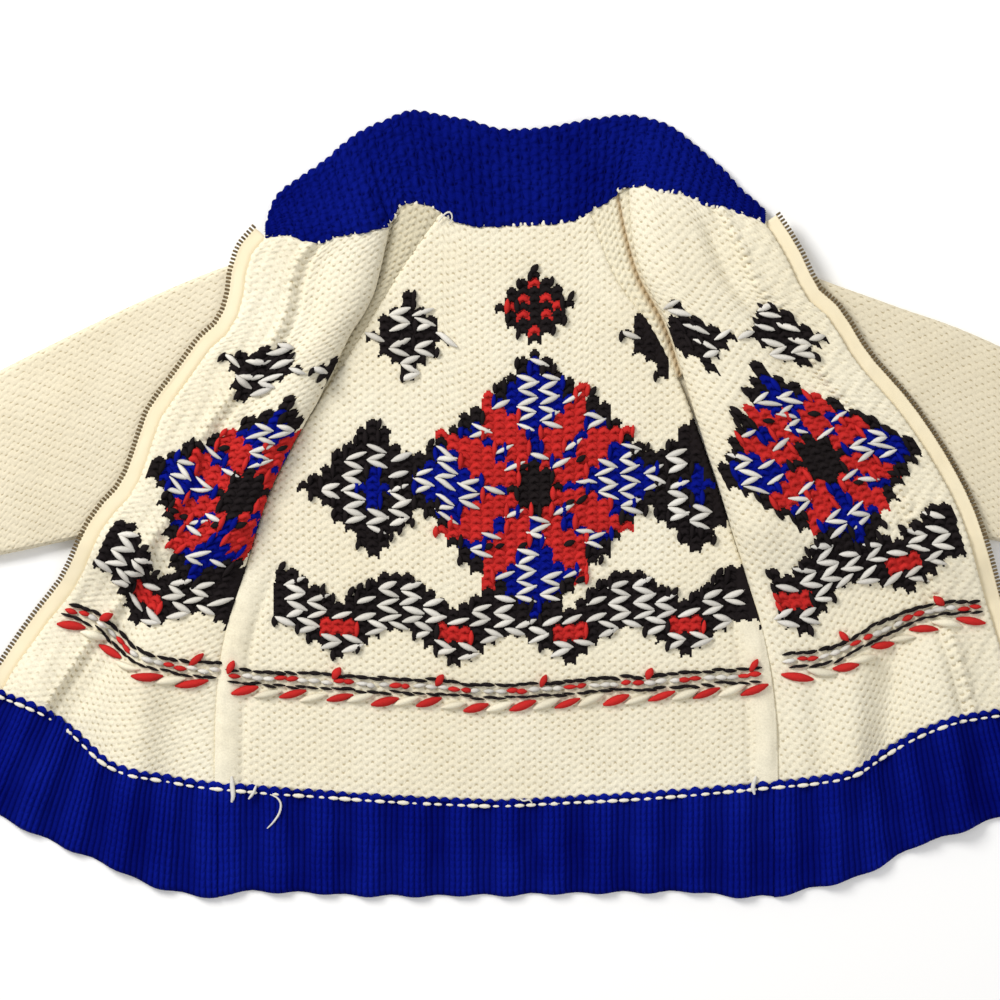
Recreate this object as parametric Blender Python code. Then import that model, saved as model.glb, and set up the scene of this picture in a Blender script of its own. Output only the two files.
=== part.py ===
# A child's chunky hand-knit zip cardigan with raglan sleeves, laid out flat on a table.
# It lies inside up with the zip open: the back is in the middle, the two fronts are folded
# outwards over the flattened sleeves, and the collar is spread above the neck.
# Sizes are in millimetres. X runs to the right, Y from the hem to the collar, Z up.
# Left and right are as seen from above, with the collar at the far side.

import math
from collections import namedtuple

import bmesh
import bpy
import numpy as np

MM = 0.001

# Cloth and hardware sizes
KNIT_WALL = 4.4
SLEEVE_WALL = 3.6
SEAM_GAP = 0.3
RIB_WALL = 3.6
RIB_RAISE = 2.2
COLLAR_WALL = 4.4
COLLAR_RIDGES = 57
RIDGE_RAISE = 1.6
RIDGE_SCALLOP = 1.4
BAND_WIDTH = 33.0
BAND_RAISE = 1.6
BAND_STEP = 4.0
BAND_LOSS_AT_ZIP = 0.4
SEAM_RIDGE_WIDTH = 8.0
SEAM_RIDGE_INSET = 9.0
SEAM_RIDGE_RAISE = 2.6
SEAM_RIDGE_TOP = -20.0
SEAM_RIDGE_GROWS_OVER = 60.0
SEAM_RIDGE_SINKS_FROM = -150.0
SEAM_RIDGE_SINKS_OVER = 30.0
SWELL_RAISE = 0.5
SWELL_ACROSS = 47.0
SWELL_DOWN = 61.0
TAPE_WIDTH = 8.6
TAPE_WALL = 1.0
CHAIN_WIDTH = 4.0
CHAIN_WALL = 2.4
TEETH_FROM_KNIT = SEAM_GAP + TAPE_WIDTH + SEAM_GAP + CHAIN_WIDTH / 2

# Heights of the middle of the front's wall above the table
LYING = KNIT_WALL / 2
OVER_SLEEVE = 14.4
BEYOND_SLEEVE_TOP = 0.35
SLEEVE_CLEAR = 3.0
SLEEVE_DROP = 46.0
SLEEVE_TOP_FALL = 34.0
ROLL_FADE = 45.0
FOLD_FADE = 0.3

# The flattened sleeve: its two layers meet in a narrow fold along each side
TUBE_FOLD_TURNS = (-60, -20, 20, 60)
LINING_SWELL = 0.3
ARMHOLE_BULGE = 9.0
UPPER_LAYER_INSET = 10.0
CAP_HEIGHTS = {"skin": (3.8, 0.3, 0.0, 0.0), "lining": (4.4, 3.9, 3.6, 3.6)}
LINING_CAP_SHIFT = 2.5

# Slider, pull tab and end pieces of the zip
SLIDER_LENGTH = 10.0
PLATE_WALL = 0.7
PLATE_GAP = 0.3
POST_WIDTH = 1.2
LUG_HALF = 1.2
LUG_WALL = 0.8
LUG_ABOVE_HINGE = 0.8
HINGE_SIDES = 12
HINGE_ABOVE_PLATE = 1.5
HINGE_ROD = 0.5
TAB_EYE = 1.25
TAB_EYE_HOLE = 0.75
TAB_EYE_LENGTH = 3.0
TAB_EYE_GAP = 0.2
TAB_NECK = 2.5
TAB_WALL = 1.0
TAB_LENGTH = 24.0
TAB_WIDTH = 6.0
TAB_SLOT_WIDTH = 2.6
TAB_SLOT_LENGTH = 6.0
TAB_SLOT_FROM_END = 1.8
BOX_LENGTH = 7.0
BOX_WIDTH = 6.0
BOX_HEIGHT = 3.4
BOX_ABOVE_TABLE = 0.2
BOX_OFFSET = 1.2
SLIDER_ABOVE_BOX = 0.5
POST_LENGTH = 3.0
POST_FROM_END = 0.6
SUNK = 0.3
PIN_LENGTH = 12.0
PIN_WIDTH = 2.0

# Number of rows and columns in the walls
FRONT_ROWS = 26
FRONT_ROLL_STEPS = 4
FRONT_PLAIN_STEPS = 6
BACK_ROWS = 22
SLEEVE_FLAT_POINTS = 9
CUFF_RIBS = 3
RIB_STEPS = 8
HEM_BACK_RIBS = 12
HEM_FRONT_RIBS = 6
BACK_SEAM_COLUMNS = (0, 4, 9, 14, 19, 30)
BACK_BREADTH = 360.0
BACK_MIDDLE_COLUMNS = 12

Fold = namedtuple("Fold", "from_x from_y to_x to_y width height")
RollRow = namedtuple("RollRow", "share edge extra reach")
SleeveRow = namedtuple("SleeveRow", "top_x top_y low_x low_y height crown")
RibRow = namedtuple("RibRow", "share ridge wall")
CuffRow = namedtuple("CuffRow", "share pinch ridge")
CollarRow = namedtuple("CollarRow", "share ridge wall")

# Outlines, each as x, y
BACK_NECK = [(-38, 190), (-31, 185), (-16, 181), (0, 181), (20, 182), (39, 183), (52, 186), (58, 191)]
BACK_HEM = [(-183, -182), (-149, -185), (-118, -187), (-76, -190), (-35, -192), (0, -193),
            (42, -191), (83, -189), (124, -186), (166, -182), (178, -181)]
BACK_HEM_LOW = [(-183, -255), (-170, -252), (-138, -252), (-97, -254), (-56, -255), (0, -254),
                (42, -253), (83, -252), (124, -252), (151, -255), (178, -255)]
SIDES = {
    "left": {
        "out": -1,
        "back_edge": [(-38, 190), (-65, 151), (-94, 104), (-117, 68), (-136, 35), (-151, 3),
                      (-163, -36), (-177, -88), (-182, -130), (-183, -182)],
        "crease": [(-71, 181), (-81, 139), (-100, 104), (-117.5, 68), (-136, 35), (-151, 3),
                   (-163, -36), (-177, -88), (-182, -130), (-183, -182)],
        "front_neck": [(-71, 181), (-88, 176), (-103, 174), (-117, 169), (-127, 170), (-136, 173),
                       (-148, 177)],
        "cap": [(-50, 192.6), (-61.8, 192.6), (-68, 184), (-79.3, 178.1)],
        "cap_edge": [(-38, 190), (-46, 194.5), (-55, 195.5), (-63, 196), (-68, 189), (-71, 181)],
        "zip": [(-159, 180), (-169, 169), (-175, 154), (-176, 136), (-181, 120), (-192, 112),
                (-215, 80), (-227, 65), (-235, 43), (-244, 17), (-258, 1), (-269, -15),
                (-283, -45), (-304, -72), (-325, -103), (-333, -117)],
        "zip_corner": (-363, -174),
        "hem": [(-183, -182), (-201, -180), (-222, -176), (-242, -172), (-257, -165), (-269, -154),
                (-283, -141), (-302, -130), (-323, -123)],
        "hem_low": [(-183, -255), (-201, -253), (-222, -249), (-242, -241), (-263, -231), (-283, -223),
                    (-304, -213), (-325, -202), (-353, -181)],
    },
    "right": {
        "out": 1,
        "back_edge": [(58, 191), (75, 147), (97, 117), (115, 82), (126, 55), (142, 9),
                      (159, -46), (171, -95), (177, -140), (178, -181)],
        "crease": [(83, 206), (84, 180), (91, 150), (107, 119), (117, 88), (127, 55), (142, 9),
                   (159, -46), (171, -95), (177, -140), (178, -181)],
        "front_neck": [(83, 206), (96, 206), (104, 202), (119, 201), (132, 194), (148, 191), (168, 189)],
        "cap": [(66.5, 192), (74.5, 196.5), (82.5, 201.5), (93, 199)],
        "cap_edge": [(58, 191), (66, 195), (73, 199), (78, 205), (83, 206)],
        "zip": [(180, 188), (194, 166), (207, 139), (220, 129), (239, 98), (263, 71), (286, 38),
                (305, 3), (316, -28), (325, -57), (335, -90), (346, -130)],
        "zip_corner": (363, -190),
        "hem": [(178, -181), (207, -178), (228, -173), (249, -161), (269, -149), (290, -140),
                (311, -136), (335, -133)],
        "hem_low": [(178, -255), (197, -251), (228, -243), (249, -234), (269, -223), (290, -215),
                    (311, -208), (325, -203), (352, -193)],
    },
}

# Sleeves, section by section from the armhole to the cuff's end
SLEEVES = {
    "left": [
        SleeveRow(-100, 169, -166, -6, 8.6, 0.4),
        SleeveRow(-140, 163, -195, -10, 8.8, 0.8),
        SleeveRow(-176, 155, -225, -14, 9.2, 1.4),
        SleeveRow(-232, 132, -268, -21, 9.8, 1.8),
        SleeveRow(-294, 102, -315, -31, 10.4, 2.2),
        SleeveRow(-350, 74, -348, -37, 10.4, 2.0),
        SleeveRow(-406, 46, -377, -39, 9.6, 1.2),
        SleeveRow(-463, 25, -437, -53, 9.6, 0.8),
    ],
    "right": [
        SleeveRow(104, 186, 160, -5, 8.6, 0.4),
        SleeveRow(150, 168, 190, -7, 8.8, 0.8),
        SleeveRow(205, 147, 225, -9, 9.2, 1.4),
        SleeveRow(255, 129, 262, -12, 9.8, 1.8),
        SleeveRow(300, 113, 303, -20, 10.4, 2.2),
        SleeveRow(352, 89, 340, -27, 10.4, 2.0),
        SleeveRow(405, 60, 376, -32, 9.6, 1.2),
        SleeveRow(463, 32, 437, -47, 9.6, 0.8),
    ],
}

# How each front rolls over at its crease, from the neck to the hem
ROLLS = [
    RollRow(0.00, 4.9, 1.0, 20),
    RollRow(0.15, 4.9, 2.8, 22),
    RollRow(0.35, 4.9, 3.0, 22),
    RollRow(0.50, 4.9, 2.6, 20),
    RollRow(0.60, 2.8, 3.0, 18),
    RollRow(0.72, 2.2, 3.6, 16),
    RollRow(0.86, 2.2, 1.6, 13),
    RollRow(1.00, 2.2, 0.2, 12),
]

# Soft ridges in the cloth, each along a line, fading towards its ends
FOLDS = [
    Fold(222, -70, 226, -240, 13, 5.5),
    Fold(283, -60, 292, -215, 17, 8.5),
    Fold(-232, -70, -238, -235, 14, 6.0),
    Fold(-296, -85, -306, -200, 15, 7.0),
]

# Rows of the ribbing from its seam to its free edge, with shares of the rib's and the wall's full height
RIB_ROWS = [
    RibRow(0.00, 0.30, 1.15),
    RibRow(0.06, 1.00, 1.00),
    RibRow(0.50, 1.00, 1.00),
    RibRow(0.93, 1.00, 1.00),
    RibRow(1.00, 0.25, 0.70),
]
CUFF_ROWS = [
    CuffRow(0.00, 0.000, 0.3),
    CuffRow(0.08, 0.035, 1.0),
    CuffRow(0.50, 0.045, 1.0),
    CuffRow(0.94, 0.020, 1.0),
    CuffRow(1.00, 0.020, 0.3),
]
COLLAR_ROWS = [
    CollarRow(0.00, 0.40, 1.0),
    CollarRow(0.08, 1.00, 1.0),
    CollarRow(0.36, 1.00, 1.0),
    CollarRow(0.68, 1.00, 1.0),
    CollarRow(0.94, 1.00, 1.0),
    CollarRow(1.00, 0.12, 0.6),
]

COLLAR_EDGE = [(-151, 184), (-148, 195), (-139, 207), (-115, 223), (-101, 236), (-84, 246), (-66, 254),
               (-54, 256), (-25, 251), (6, 244), (39, 247), (76, 253), (105, 249), (123, 237),
               (142, 221), (155, 207), (164, 199), (171, 192)]


def along(line, shares):
    """Points of a line of straight steps at the given shares of its length."""
    line = np.asarray(line, float)
    steps = np.linalg.norm(np.diff(line[:, :2], axis=0), axis=1)
    reached = np.concatenate([[0], np.cumsum(steps)]) / steps.sum()
    shares = np.asarray(shares, float)
    return np.stack([np.interp(shares, reached, line[:, k]) for k in range(line.shape[1])], axis=-1)


def smooth_line(points, count):
    """Evenly spaced points on a smooth curve through the given ones."""
    points = np.asarray(points, float)
    padded = np.vstack([2 * points[0] - points[1], points, 2 * points[-1] - points[-2]])
    fine = []
    for i in range(len(points) - 1):
        a, b, c, d = padded[i:i + 4]
        for t in np.linspace(0, 1, 12, endpoint=False):
            linear = 2 * b + (c - a) * t
            fine.append((linear + (2 * a - 5 * b + 4 * c - d) * t**2 + (3 * b - a - 3 * c + d) * t**3) / 2)
    fine.append(points[-1])
    return along(fine, np.linspace(0, 1, count))


def table_value(rows, column, at):
    """A column of a table, read smoothly between its rows."""
    places = np.array([row.share for row in rows])
    values = np.array([getattr(row, column) for row in rows], float)
    line = smooth_line(np.stack([places, values], axis=1), 120)
    return np.interp(at, line[:, 0], line[:, 1])


def ease(x):
    """A smooth step from 0 to 1 as x goes from 0 to 1."""
    x = np.clip(x, 0, 1)
    return x * x * (3 - 2 * x)


def moved_out(line, distance, out):
    """The line moved sideways in the plane, away from the garment for a positive distance."""
    line = np.asarray(line, float)
    way = np.gradient(line[:, :2], axis=0)
    way /= np.linalg.norm(way, axis=1)[:, None]
    return line[:, :2] + np.stack([-way[:, 1], way[:, 0]], axis=1) * out * distance


def patch_point(top, bottom, inner, outer, down, across):
    """Points of the patch between four border lines, at shares down and across it."""
    down_3d, across_3d = down[..., None], across[..., None]
    sides = (1 - across_3d) * along(inner, down) + across_3d * along(outer, down)
    ends = (1 - down_3d) * along(top, across) + down_3d * along(bottom, across)
    corners = (1 - down_3d) * ((1 - across_3d) * top[0] + across_3d * top[-1])
    corners = corners + down_3d * ((1 - across_3d) * bottom[0] + across_3d * bottom[-1])
    return sides + ends - corners


def fold_height(x, y):
    """How far the soft ridges lift the cloth at a point."""
    lift = np.zeros_like(x)
    for fold in FOLDS:
        start = np.array([fold.from_x, fold.from_y])
        way = np.array([fold.to_x, fold.to_y]) - start
        length = np.linalg.norm(way)
        way = way / length
        run = (x - start[0]) * way[0] + (y - start[1]) * way[1]
        off = (x - start[0]) * way[1] - (y - start[1]) * way[0]
        share = run / length
        fade = ease(share / FOLD_FADE) * ease((1.15 - share) / FOLD_FADE)
        lift = lift + fold.height * np.exp(-(off / fold.width) ** 2) * fade
    return lift


def finish(obj, colour, roughness, metallic=0.0):
    """Gives an object its own material."""
    material = bpy.data.materials.new(obj.name)
    material.use_nodes = True
    shader = material.node_tree.nodes["Principled BSDF"]
    shader.inputs["Base Color"].default_value = (*colour, 1)
    shader.inputs["Roughness"].default_value = roughness
    shader.inputs["Metallic"].default_value = metallic
    obj.data.materials.append(material)


def mesh_object(name, points, faces, look):
    """One closed object from points in millimetres and faces, turned to face out."""
    mesh = bpy.data.meshes.new(name)
    mesh.from_pydata([tuple(p) for p in np.asarray(points) * MM], [], faces)
    shape = bmesh.new()
    shape.from_mesh(mesh)
    bmesh.ops.recalc_face_normals(shape, faces=shape.faces)
    shape.to_mesh(mesh)
    shape.free()
    mesh.shade_smooth()
    mesh.set_sharp_from_angle(angle=math.radians(40))
    obj = bpy.data.objects.new(name, mesh)
    bpy.context.scene.collection.objects.link(obj)
    finish(obj, *look)
    return obj


CREAM = ((0.86, 0.80, 0.62), 0.9)
BLUE = ((0.004, 0.008, 0.25), 0.9)
TAPE = ((0.90, 0.83, 0.60), 0.75)
BRASS = ((0.50, 0.34, 0.13), 0.4, 1.0)


def drawn_in(grid):
    """The grid with its border moved in by half the seam gap."""
    grid = grid.copy()
    for here, inside in ((0, 1), (-1, -2)):
        way = grid[inside] - grid[here]
        grid[here] += way / np.linalg.norm(way, axis=1)[:, None] * SEAM_GAP / 2
    for here, inside in ((0, 1), (-1, -2)):
        way = grid[:, inside] - grid[:, here]
        grid[:, here] += way / np.linalg.norm(way, axis=1)[:, None] * SEAM_GAP / 2
    return grid


def normals_of(grid):
    """Unit normals of a grid of points, on its upper side."""
    normal = np.cross(np.gradient(grid, axis=1), np.gradient(grid, axis=0))
    normal /= np.linalg.norm(normal, axis=2)[..., None]
    return normal * np.sign(normal[..., 2].mean())


def wall(name, upper, lower, look, plain_under=False):
    """A closed wall between two grids of points. Its underside can be one row of faces."""
    rows, cols = upper.shape[:2]
    points = [upper.reshape(-1, 3)]
    top = np.arange(rows * cols).reshape(rows, cols)
    faces = []
    for i in range(rows - 1):
        for j in range(cols - 1):
            faces.append((top[i, j], top[i, j + 1], top[i + 1, j + 1], top[i + 1, j]))
    if plain_under:
        points.append(lower[[0, -1]].reshape(-1, 3))
        under = rows * cols + np.arange(2 * cols).reshape(2, cols)
        ends = [(0, [under[0, 0], under[1, 0]]), (cols - 1, [under[0, -1], under[1, -1]])]
        faces += [tuple(top[:, j]) + (pair[1], pair[0]) for j, pair in ends]
    else:
        points.append(lower.reshape(-1, 3))
        under = rows * cols + np.arange(rows * cols).reshape(rows, cols)
        for j in (0, cols - 1):
            for i in range(rows - 1):
                faces.append((top[i, j], top[i + 1, j], under[i + 1, j], under[i, j]))
    for i in range(len(under) - 1):
        for j in range(cols - 1):
            faces.append((under[i, j], under[i + 1, j], under[i + 1, j + 1], under[i, j + 1]))
    for i in (0, -1):
        for j in range(cols - 1):
            faces.append((top[i, j], top[i, j + 1], under[i, j + 1], under[i, j]))
    return mesh_object(name, np.vstack(points), faces, look)


def slab(name, upper, look):
    """A closed wall whose underside is one flat face on the table."""
    rows, cols = upper.shape[:2]
    top = np.arange(rows * cols).reshape(rows, cols)
    faces = []
    for i in range(rows - 1):
        for j in range(cols - 1):
            faces.append((top[i, j], top[i, j + 1], top[i + 1, j + 1], top[i + 1, j]))
    loop = list(top[0, :-1]) + list(top[:-1, -1]) + list(top[-1, :0:-1]) + list(top[:0:-1, 0])
    points = upper.reshape(-1, 3)
    under = points[loop] * (1, 1, 0)
    first = len(points)
    count = len(loop)
    for k in range(count):
        after = (k + 1) % count
        faces.append((loop[k], loop[after], first + after, first + k))
    faces.append(tuple(range(first, first + count)))
    return mesh_object(name, np.vstack([points, under]), faces, look)


def tube(name, outer, inner, look):
    """An open tube whose wall lies between two sets of rings."""
    rings, around = outer.shape[:2]
    skin = np.arange(rings * around).reshape(rings, around)
    lining = skin + rings * around
    faces = []
    for i in range(around):
        after = (i + 1) % around
        for j in range(rings - 1):
            faces.append((skin[j, i], skin[j, after], skin[j + 1, after], skin[j + 1, i]))
            faces.append((lining[j, i], lining[j + 1, i], lining[j + 1, after], lining[j, after]))
        for j in (0, rings - 1):
            faces.append((skin[j, i], skin[j, after], lining[j, after], lining[j, i]))
    return mesh_object(name, np.vstack([outer.reshape(-1, 3), inner.reshape(-1, 3)]), faces, look)


def knit_edge(side):
    """The front's edge at the zip, as far as the hem, and the corner at the hem's foot."""
    shape = SIDES[side]
    line = np.vstack([smooth_line(shape["zip"], FRONT_ROWS), shape["zip_corner"]])
    edge = moved_out(line, -TEETH_FROM_KNIT, shape["out"])
    upper = edge[:-1]
    for _ in range(4):
        upper = along(upper, np.linspace(0, 1, FRONT_ROWS))
    return upper, edge[-1]


def front_borders(side):
    """The front's borders: neck, hem, crease and zip edge."""
    shape = SIDES[side]
    zip_edge, _ = knit_edge(side)
    neck = smooth_line(shape["front_neck"][:-1] + [tuple(zip_edge[0])], 60)
    hem = smooth_line(shape["hem"][:-1] + [tuple(zip_edge[-1])], 60)
    crease = smooth_line(shape["crease"], 120)
    return neck, hem, crease, zip_edge


def sleeve_lift(side, x, y):
    """How much of the sleeve's height the front has at a point: 1 over the sleeve, 0 beyond it."""
    rows = SLEEVES[side]
    out = SIDES[side]["out"]
    across = [row.low_x * out for row in rows]
    low = np.interp(x * out, across, [row.low_y for row in rows])
    top = np.interp(x * out, [row.top_x * out for row in rows], [row.top_y for row in rows])
    below = 1 - ease((low - SLEEVE_CLEAR - y) / SLEEVE_DROP)
    above = 1 - BEYOND_SLEEVE_TOP * ease((y - top - SLEEVE_CLEAR) / SLEEVE_TOP_FALL)
    return below * above


def front_middle(side):
    """The middle of the front's wall as a grid, and each point's distance from the crease and the zip."""
    shape = SIDES[side]
    neck, hem, crease, zip_edge = front_borders(side)
    down = np.linspace(0, 1, FRONT_ROWS)
    inner, outer = along(crease, down), along(zip_edge, down)
    width = np.linalg.norm(outer - inner, axis=1)
    edge = table_value(ROLLS, "edge", down)
    extra = table_value(ROLLS, "extra", down)
    reach = table_value(ROLLS, "reach", down)
    turn = np.linspace(0, math.pi / 2, FRONT_ROLL_STEPS + 1)
    rolled = reach[:, None] * (1 - np.cos(turn))
    band = width - BAND_WIDTH
    shares = np.linspace(0, 1, FRONT_PLAIN_STEPS + 1)[1:-1]
    plain = reach[:, None] + (band - reach)[:, None] * shares
    ends = width[:, None] - np.array([BAND_WIDTH, BAND_WIDTH - BAND_STEP, BAND_WIDTH / 2, BAND_STEP, 0])
    off_crease = np.hstack([rolled, plain, ends])
    rest_edge = LYING + (OVER_SLEEVE - LYING) * sleeve_lift(side, inner[:, 0], inner[:, 1])
    rise = (rest_edge + extra - edge) * math.sin(turn[1])
    run = reach * (1 - math.cos(turn[1]))
    shift = KNIT_WALL / 2 * rise / np.hypot(rise, run)
    from_crease = shift[:, None] + off_crease * ((width - shift) / width)[:, None]
    plan = patch_point(neck, hem, crease, zip_edge, np.repeat(down[:, None], off_crease.shape[1], 1),
                       from_crease / width[:, None])
    x, y = plan[..., 0], plan[..., 1]
    rest = LYING + (OVER_SLEEVE - LYING) * sleeve_lift(side, x, y) + fold_height(x, y)
    crest = rest + extra[:, None] * (1 - ease((off_crease - reach[:, None]) / ROLL_FADE))
    bent = np.clip(off_crease / reach[:, None], 0, 1)
    height = edge[:, None] + (crest - edge[:, None]) * np.sqrt(1 - (1 - bent) ** 2)
    grid = np.dstack([x, y, height])
    return grid, width[:, None] - off_crease


def level_at_seams(grid, step):
    """The step from the wall's middle to its face, with no lean across the neck, zip and hem seams."""
    step = step.copy()
    step[:, -1, :2] = 0
    step[-1, :, :2] = 0
    down = grid[1, :, :2] - grid[0, :, :2]
    down /= np.linalg.norm(down, axis=1)[:, None]
    step[0, :, :2] -= down * (step[0, :, :2] * down).sum(axis=1)[:, None]
    return step


def front(side):
    """One front: a knitted wall that rolls up from its crease and lies over the sleeve."""
    grid, from_zip = front_middle(side)
    normal = normals_of(grid)
    band = BAND_RAISE * ease((BAND_WIDTH - from_zip) / BAND_STEP)
    band = band * (1 - BAND_LOSS_AT_ZIP * ease((BAND_STEP - from_zip) / BAND_STEP))
    upper = grid + level_at_seams(grid, normal * (KNIT_WALL / 2 + band)[..., None])
    lower = grid - level_at_seams(grid, normal * KNIT_WALL / 2)
    lower[..., 2] = np.maximum(lower[..., 2], 0)
    return wall("front_" + side, drawn_in(upper), drawn_in(lower), CREAM)


def back():
    """The back, flat on the table, with the side seams' ridges raised along its lower sides."""
    near = np.array(BACK_SEAM_COLUMNS) / BACK_BREADTH
    middle = np.linspace(near[-1], 1 - near[-1], BACK_MIDDLE_COLUMNS + 2)[1:-1]
    across = np.concatenate([near, middle, 1 - near[::-1]])
    down = np.linspace(0, 1, BACK_ROWS)
    neck = smooth_line(BACK_NECK, 60)
    hem = smooth_line(BACK_HEM, 60)
    left = smooth_line(SIDES["left"]["back_edge"], 120)
    right = smooth_line(SIDES["right"]["back_edge"], 120)
    down_grid, across_grid = np.meshgrid(down, across, indexing="ij")
    plan = patch_point(neck, hem, left, right, down_grid, across_grid)
    width = np.linalg.norm(along(right, down) - along(left, down), axis=1)[:, None]
    off_edge = np.minimum(across_grid, 1 - across_grid) * width
    seam = np.exp(-((off_edge - SEAM_RIDGE_INSET) / SEAM_RIDGE_WIDTH) ** 2)
    seam = seam * ease((SEAM_RIDGE_TOP - plan[..., 1]) / SEAM_RIDGE_GROWS_OVER)
    seam = seam * (1 - ease((SEAM_RIDGE_SINKS_FROM - plan[..., 1]) / SEAM_RIDGE_SINKS_OVER) / 2)
    swell = SWELL_RAISE * np.sin(plan[..., 0] / SWELL_ACROSS) * np.sin(plan[..., 1] / SWELL_DOWN)
    height = KNIT_WALL + swell + SEAM_RIDGE_RAISE * seam
    return slab("back", drawn_in(np.dstack([plan, height])), CREAM)


def rib_height(phase):
    """Height of a rib over its wall, at a phase in ribs."""
    return RIB_RAISE * np.clip(0.5 + 0.8 * np.cos(2 * math.pi * phase), 0, 1)


def ribbed_strip(name, top_line, low_line, ribs, flat):
    """A ribbed strip between two lines. Its lower edge is rounded."""
    shares = np.linspace(0, 1, ribs * RIB_STEPS + 1)
    down, ridge, thick = np.array(RIB_ROWS).T
    above, below = along(top_line, shares), along(low_line, shares)
    plan = above + (below - above) * down[:, None, None]
    raise_by = rib_height(shares * ribs - 0.25)[None, :] * ridge[:, None]
    wall_height = RIB_WALL * thick[:, None]
    lift = 0 if flat else fold_height(plan[..., 0], plan[..., 1])
    upper = drawn_in(np.dstack([plan, lift + wall_height + raise_by]))
    lower = drawn_in(np.dstack([plan, lift + np.zeros(plan.shape[:2])]))
    return wall(name, upper, lower, BLUE, plain_under=True)


def hems():
    """The three stretches of ribbing below the back and the fronts."""
    ribbed_strip("hem_back", smooth_line(BACK_HEM, 60), smooth_line(BACK_HEM_LOW, 60), HEM_BACK_RIBS, True)
    for side, shape in SIDES.items():
        _, corner = knit_edge(side)
        grid, _ = front_middle(side)
        low = smooth_line(shape["hem_low"][:-1] + [tuple(corner)], 60)
        ribbed_strip("hem_front_" + side, grid[-1, :, :2], low, HEM_FRONT_RIBS, False)


def flat_ring(top, low, height, crown, flat_points, inset=0.0):
    """One section of a flattened tube, from its top fold along the table and back."""
    top, low = np.array(top, float), np.array(low, float)
    width = np.linalg.norm(low - top)
    way = (low - top) / width
    radius = height / 2 - inset
    turns = np.radians(TUBE_FOLD_TURNS)
    flat = np.linspace(height / 2, width - height / 2, flat_points)
    bump = crown * np.sin(math.pi * (flat - flat[0]) / (flat[-1] - flat[0]))
    outward, climb = radius * np.cos(turns), radius * np.sin(turns)
    runs = [flat, width - height / 2 + outward, flat[::-1], height / 2 - outward]
    heights = [np.full(flat_points, inset), height / 2 + climb, height - inset + bump, height / 2 - climb]
    run, high = np.concatenate(runs), np.concatenate(heights)
    return np.column_stack([top + way * run[:, None], high])


def armhole_ring(side, layer, inset):
    """The sleeve's first ring: along the back's edge, and back under the front's crease."""
    shape = SIDES[side]
    out = shape["out"]
    height = SLEEVES[side][0].height
    share = np.linspace(0, 1, SLEEVE_FLAT_POINTS)
    raglan = smooth_line(shape["back_edge"][:6], 60)
    crease = smooth_line(shape["crease"][:-4], 60)
    low = along(moved_out(raglan, 2 * SEAM_GAP, out), share)
    low += np.array([out, -0.4]) * ARMHOLE_BULGE * ease((share - 0.7) / 0.3)[:, None]
    high = along(moved_out(crease, UPPER_LAYER_INSET, out), share * 0.97 + 0.015)[::-1]
    turns = np.radians(TUBE_FOLD_TURNS)
    end_way = raglan[-1] - raglan[-8]
    end_way /= np.linalg.norm(end_way)
    mix = (1 + np.sin(turns)[:, None]) / 2
    under = low[-1] + (high[0] - low[-1]) * mix + end_way * (height / 2 - inset) * np.cos(turns)[:, None]
    radius = height / 2 - inset
    cap = np.array(shape["cap"][::-1], float)
    if layer == "lining":
        cap[0] += np.array([-out, -1]) * LINING_CAP_SHIFT
    return np.vstack([
        np.column_stack([low, np.full(len(low), inset)]),
        np.column_stack([under, height / 2 + radius * np.sin(turns)]),
        np.column_stack([high, np.full(len(high), height - inset)]),
        np.column_stack([cap, CAP_HEIGHTS[layer]]),
    ])


LAYERS = (("skin", 0.0, 1.0), ("lining", SLEEVE_WALL, LINING_SWELL))


def sleeve(side):
    """A flattened sleeve from its armhole to the cuff."""
    rows = SLEEVES[side][:-1]
    rings = {}
    for layer, inset, swell in LAYERS:
        sections = [flat_ring((r.top_x, r.top_y), (r.low_x, r.low_y), r.height, r.crown * swell,
                              SLEEVE_FLAT_POINTS, inset) for r in rows]
        rings[layer] = np.array([armhole_ring(side, layer, inset)] + sections)
    return tube("sleeve_" + side, rings["skin"], rings["lining"], CREAM)


def cuff(side):
    """The ribbed cuff at the sleeve's end, narrower than the sleeve, with ribs on its upper side."""
    start, end = SLEEVES[side][-2:]
    away = np.array([end.top_x - start.top_x, end.top_y - start.top_y], float)
    away /= np.linalg.norm(away)
    top = np.array([[start.top_x, start.top_y], [end.top_x, end.top_y]], float)
    low = np.array([[start.low_x, start.low_y], [end.low_x, end.low_y]], float)
    top[0] += away * SEAM_GAP
    low[0] += away * SEAM_GAP
    rings = {"skin": [], "lining": []}
    flat = CUFF_RIBS * RIB_STEPS + 1
    fold = len(TUBE_FOLD_TURNS)
    ribs = np.linspace(0, CUFF_RIBS, flat)
    for row in CUFF_ROWS:
        above, below = along(top, [row.share])[0], along(low, [row.share])[0]
        above, below = above + (below - above) * row.pinch, below + (above - below) * row.pinch
        for layer, inset, swell in LAYERS:
            ring = flat_ring(above, below, start.height, start.crown * swell, flat, inset)
            if layer == "skin":
                ring[flat + fold:2 * flat + fold, 2] += rib_height(ribs) * row.ridge
            keep = list(range(0, flat, CUFF_RIBS * 2)) + list(range(flat, len(ring)))
            rings[layer].append(ring[keep])
    return tube("cuff_" + side, np.array(rings["skin"]), np.array(rings["lining"]), BLUE)


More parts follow.
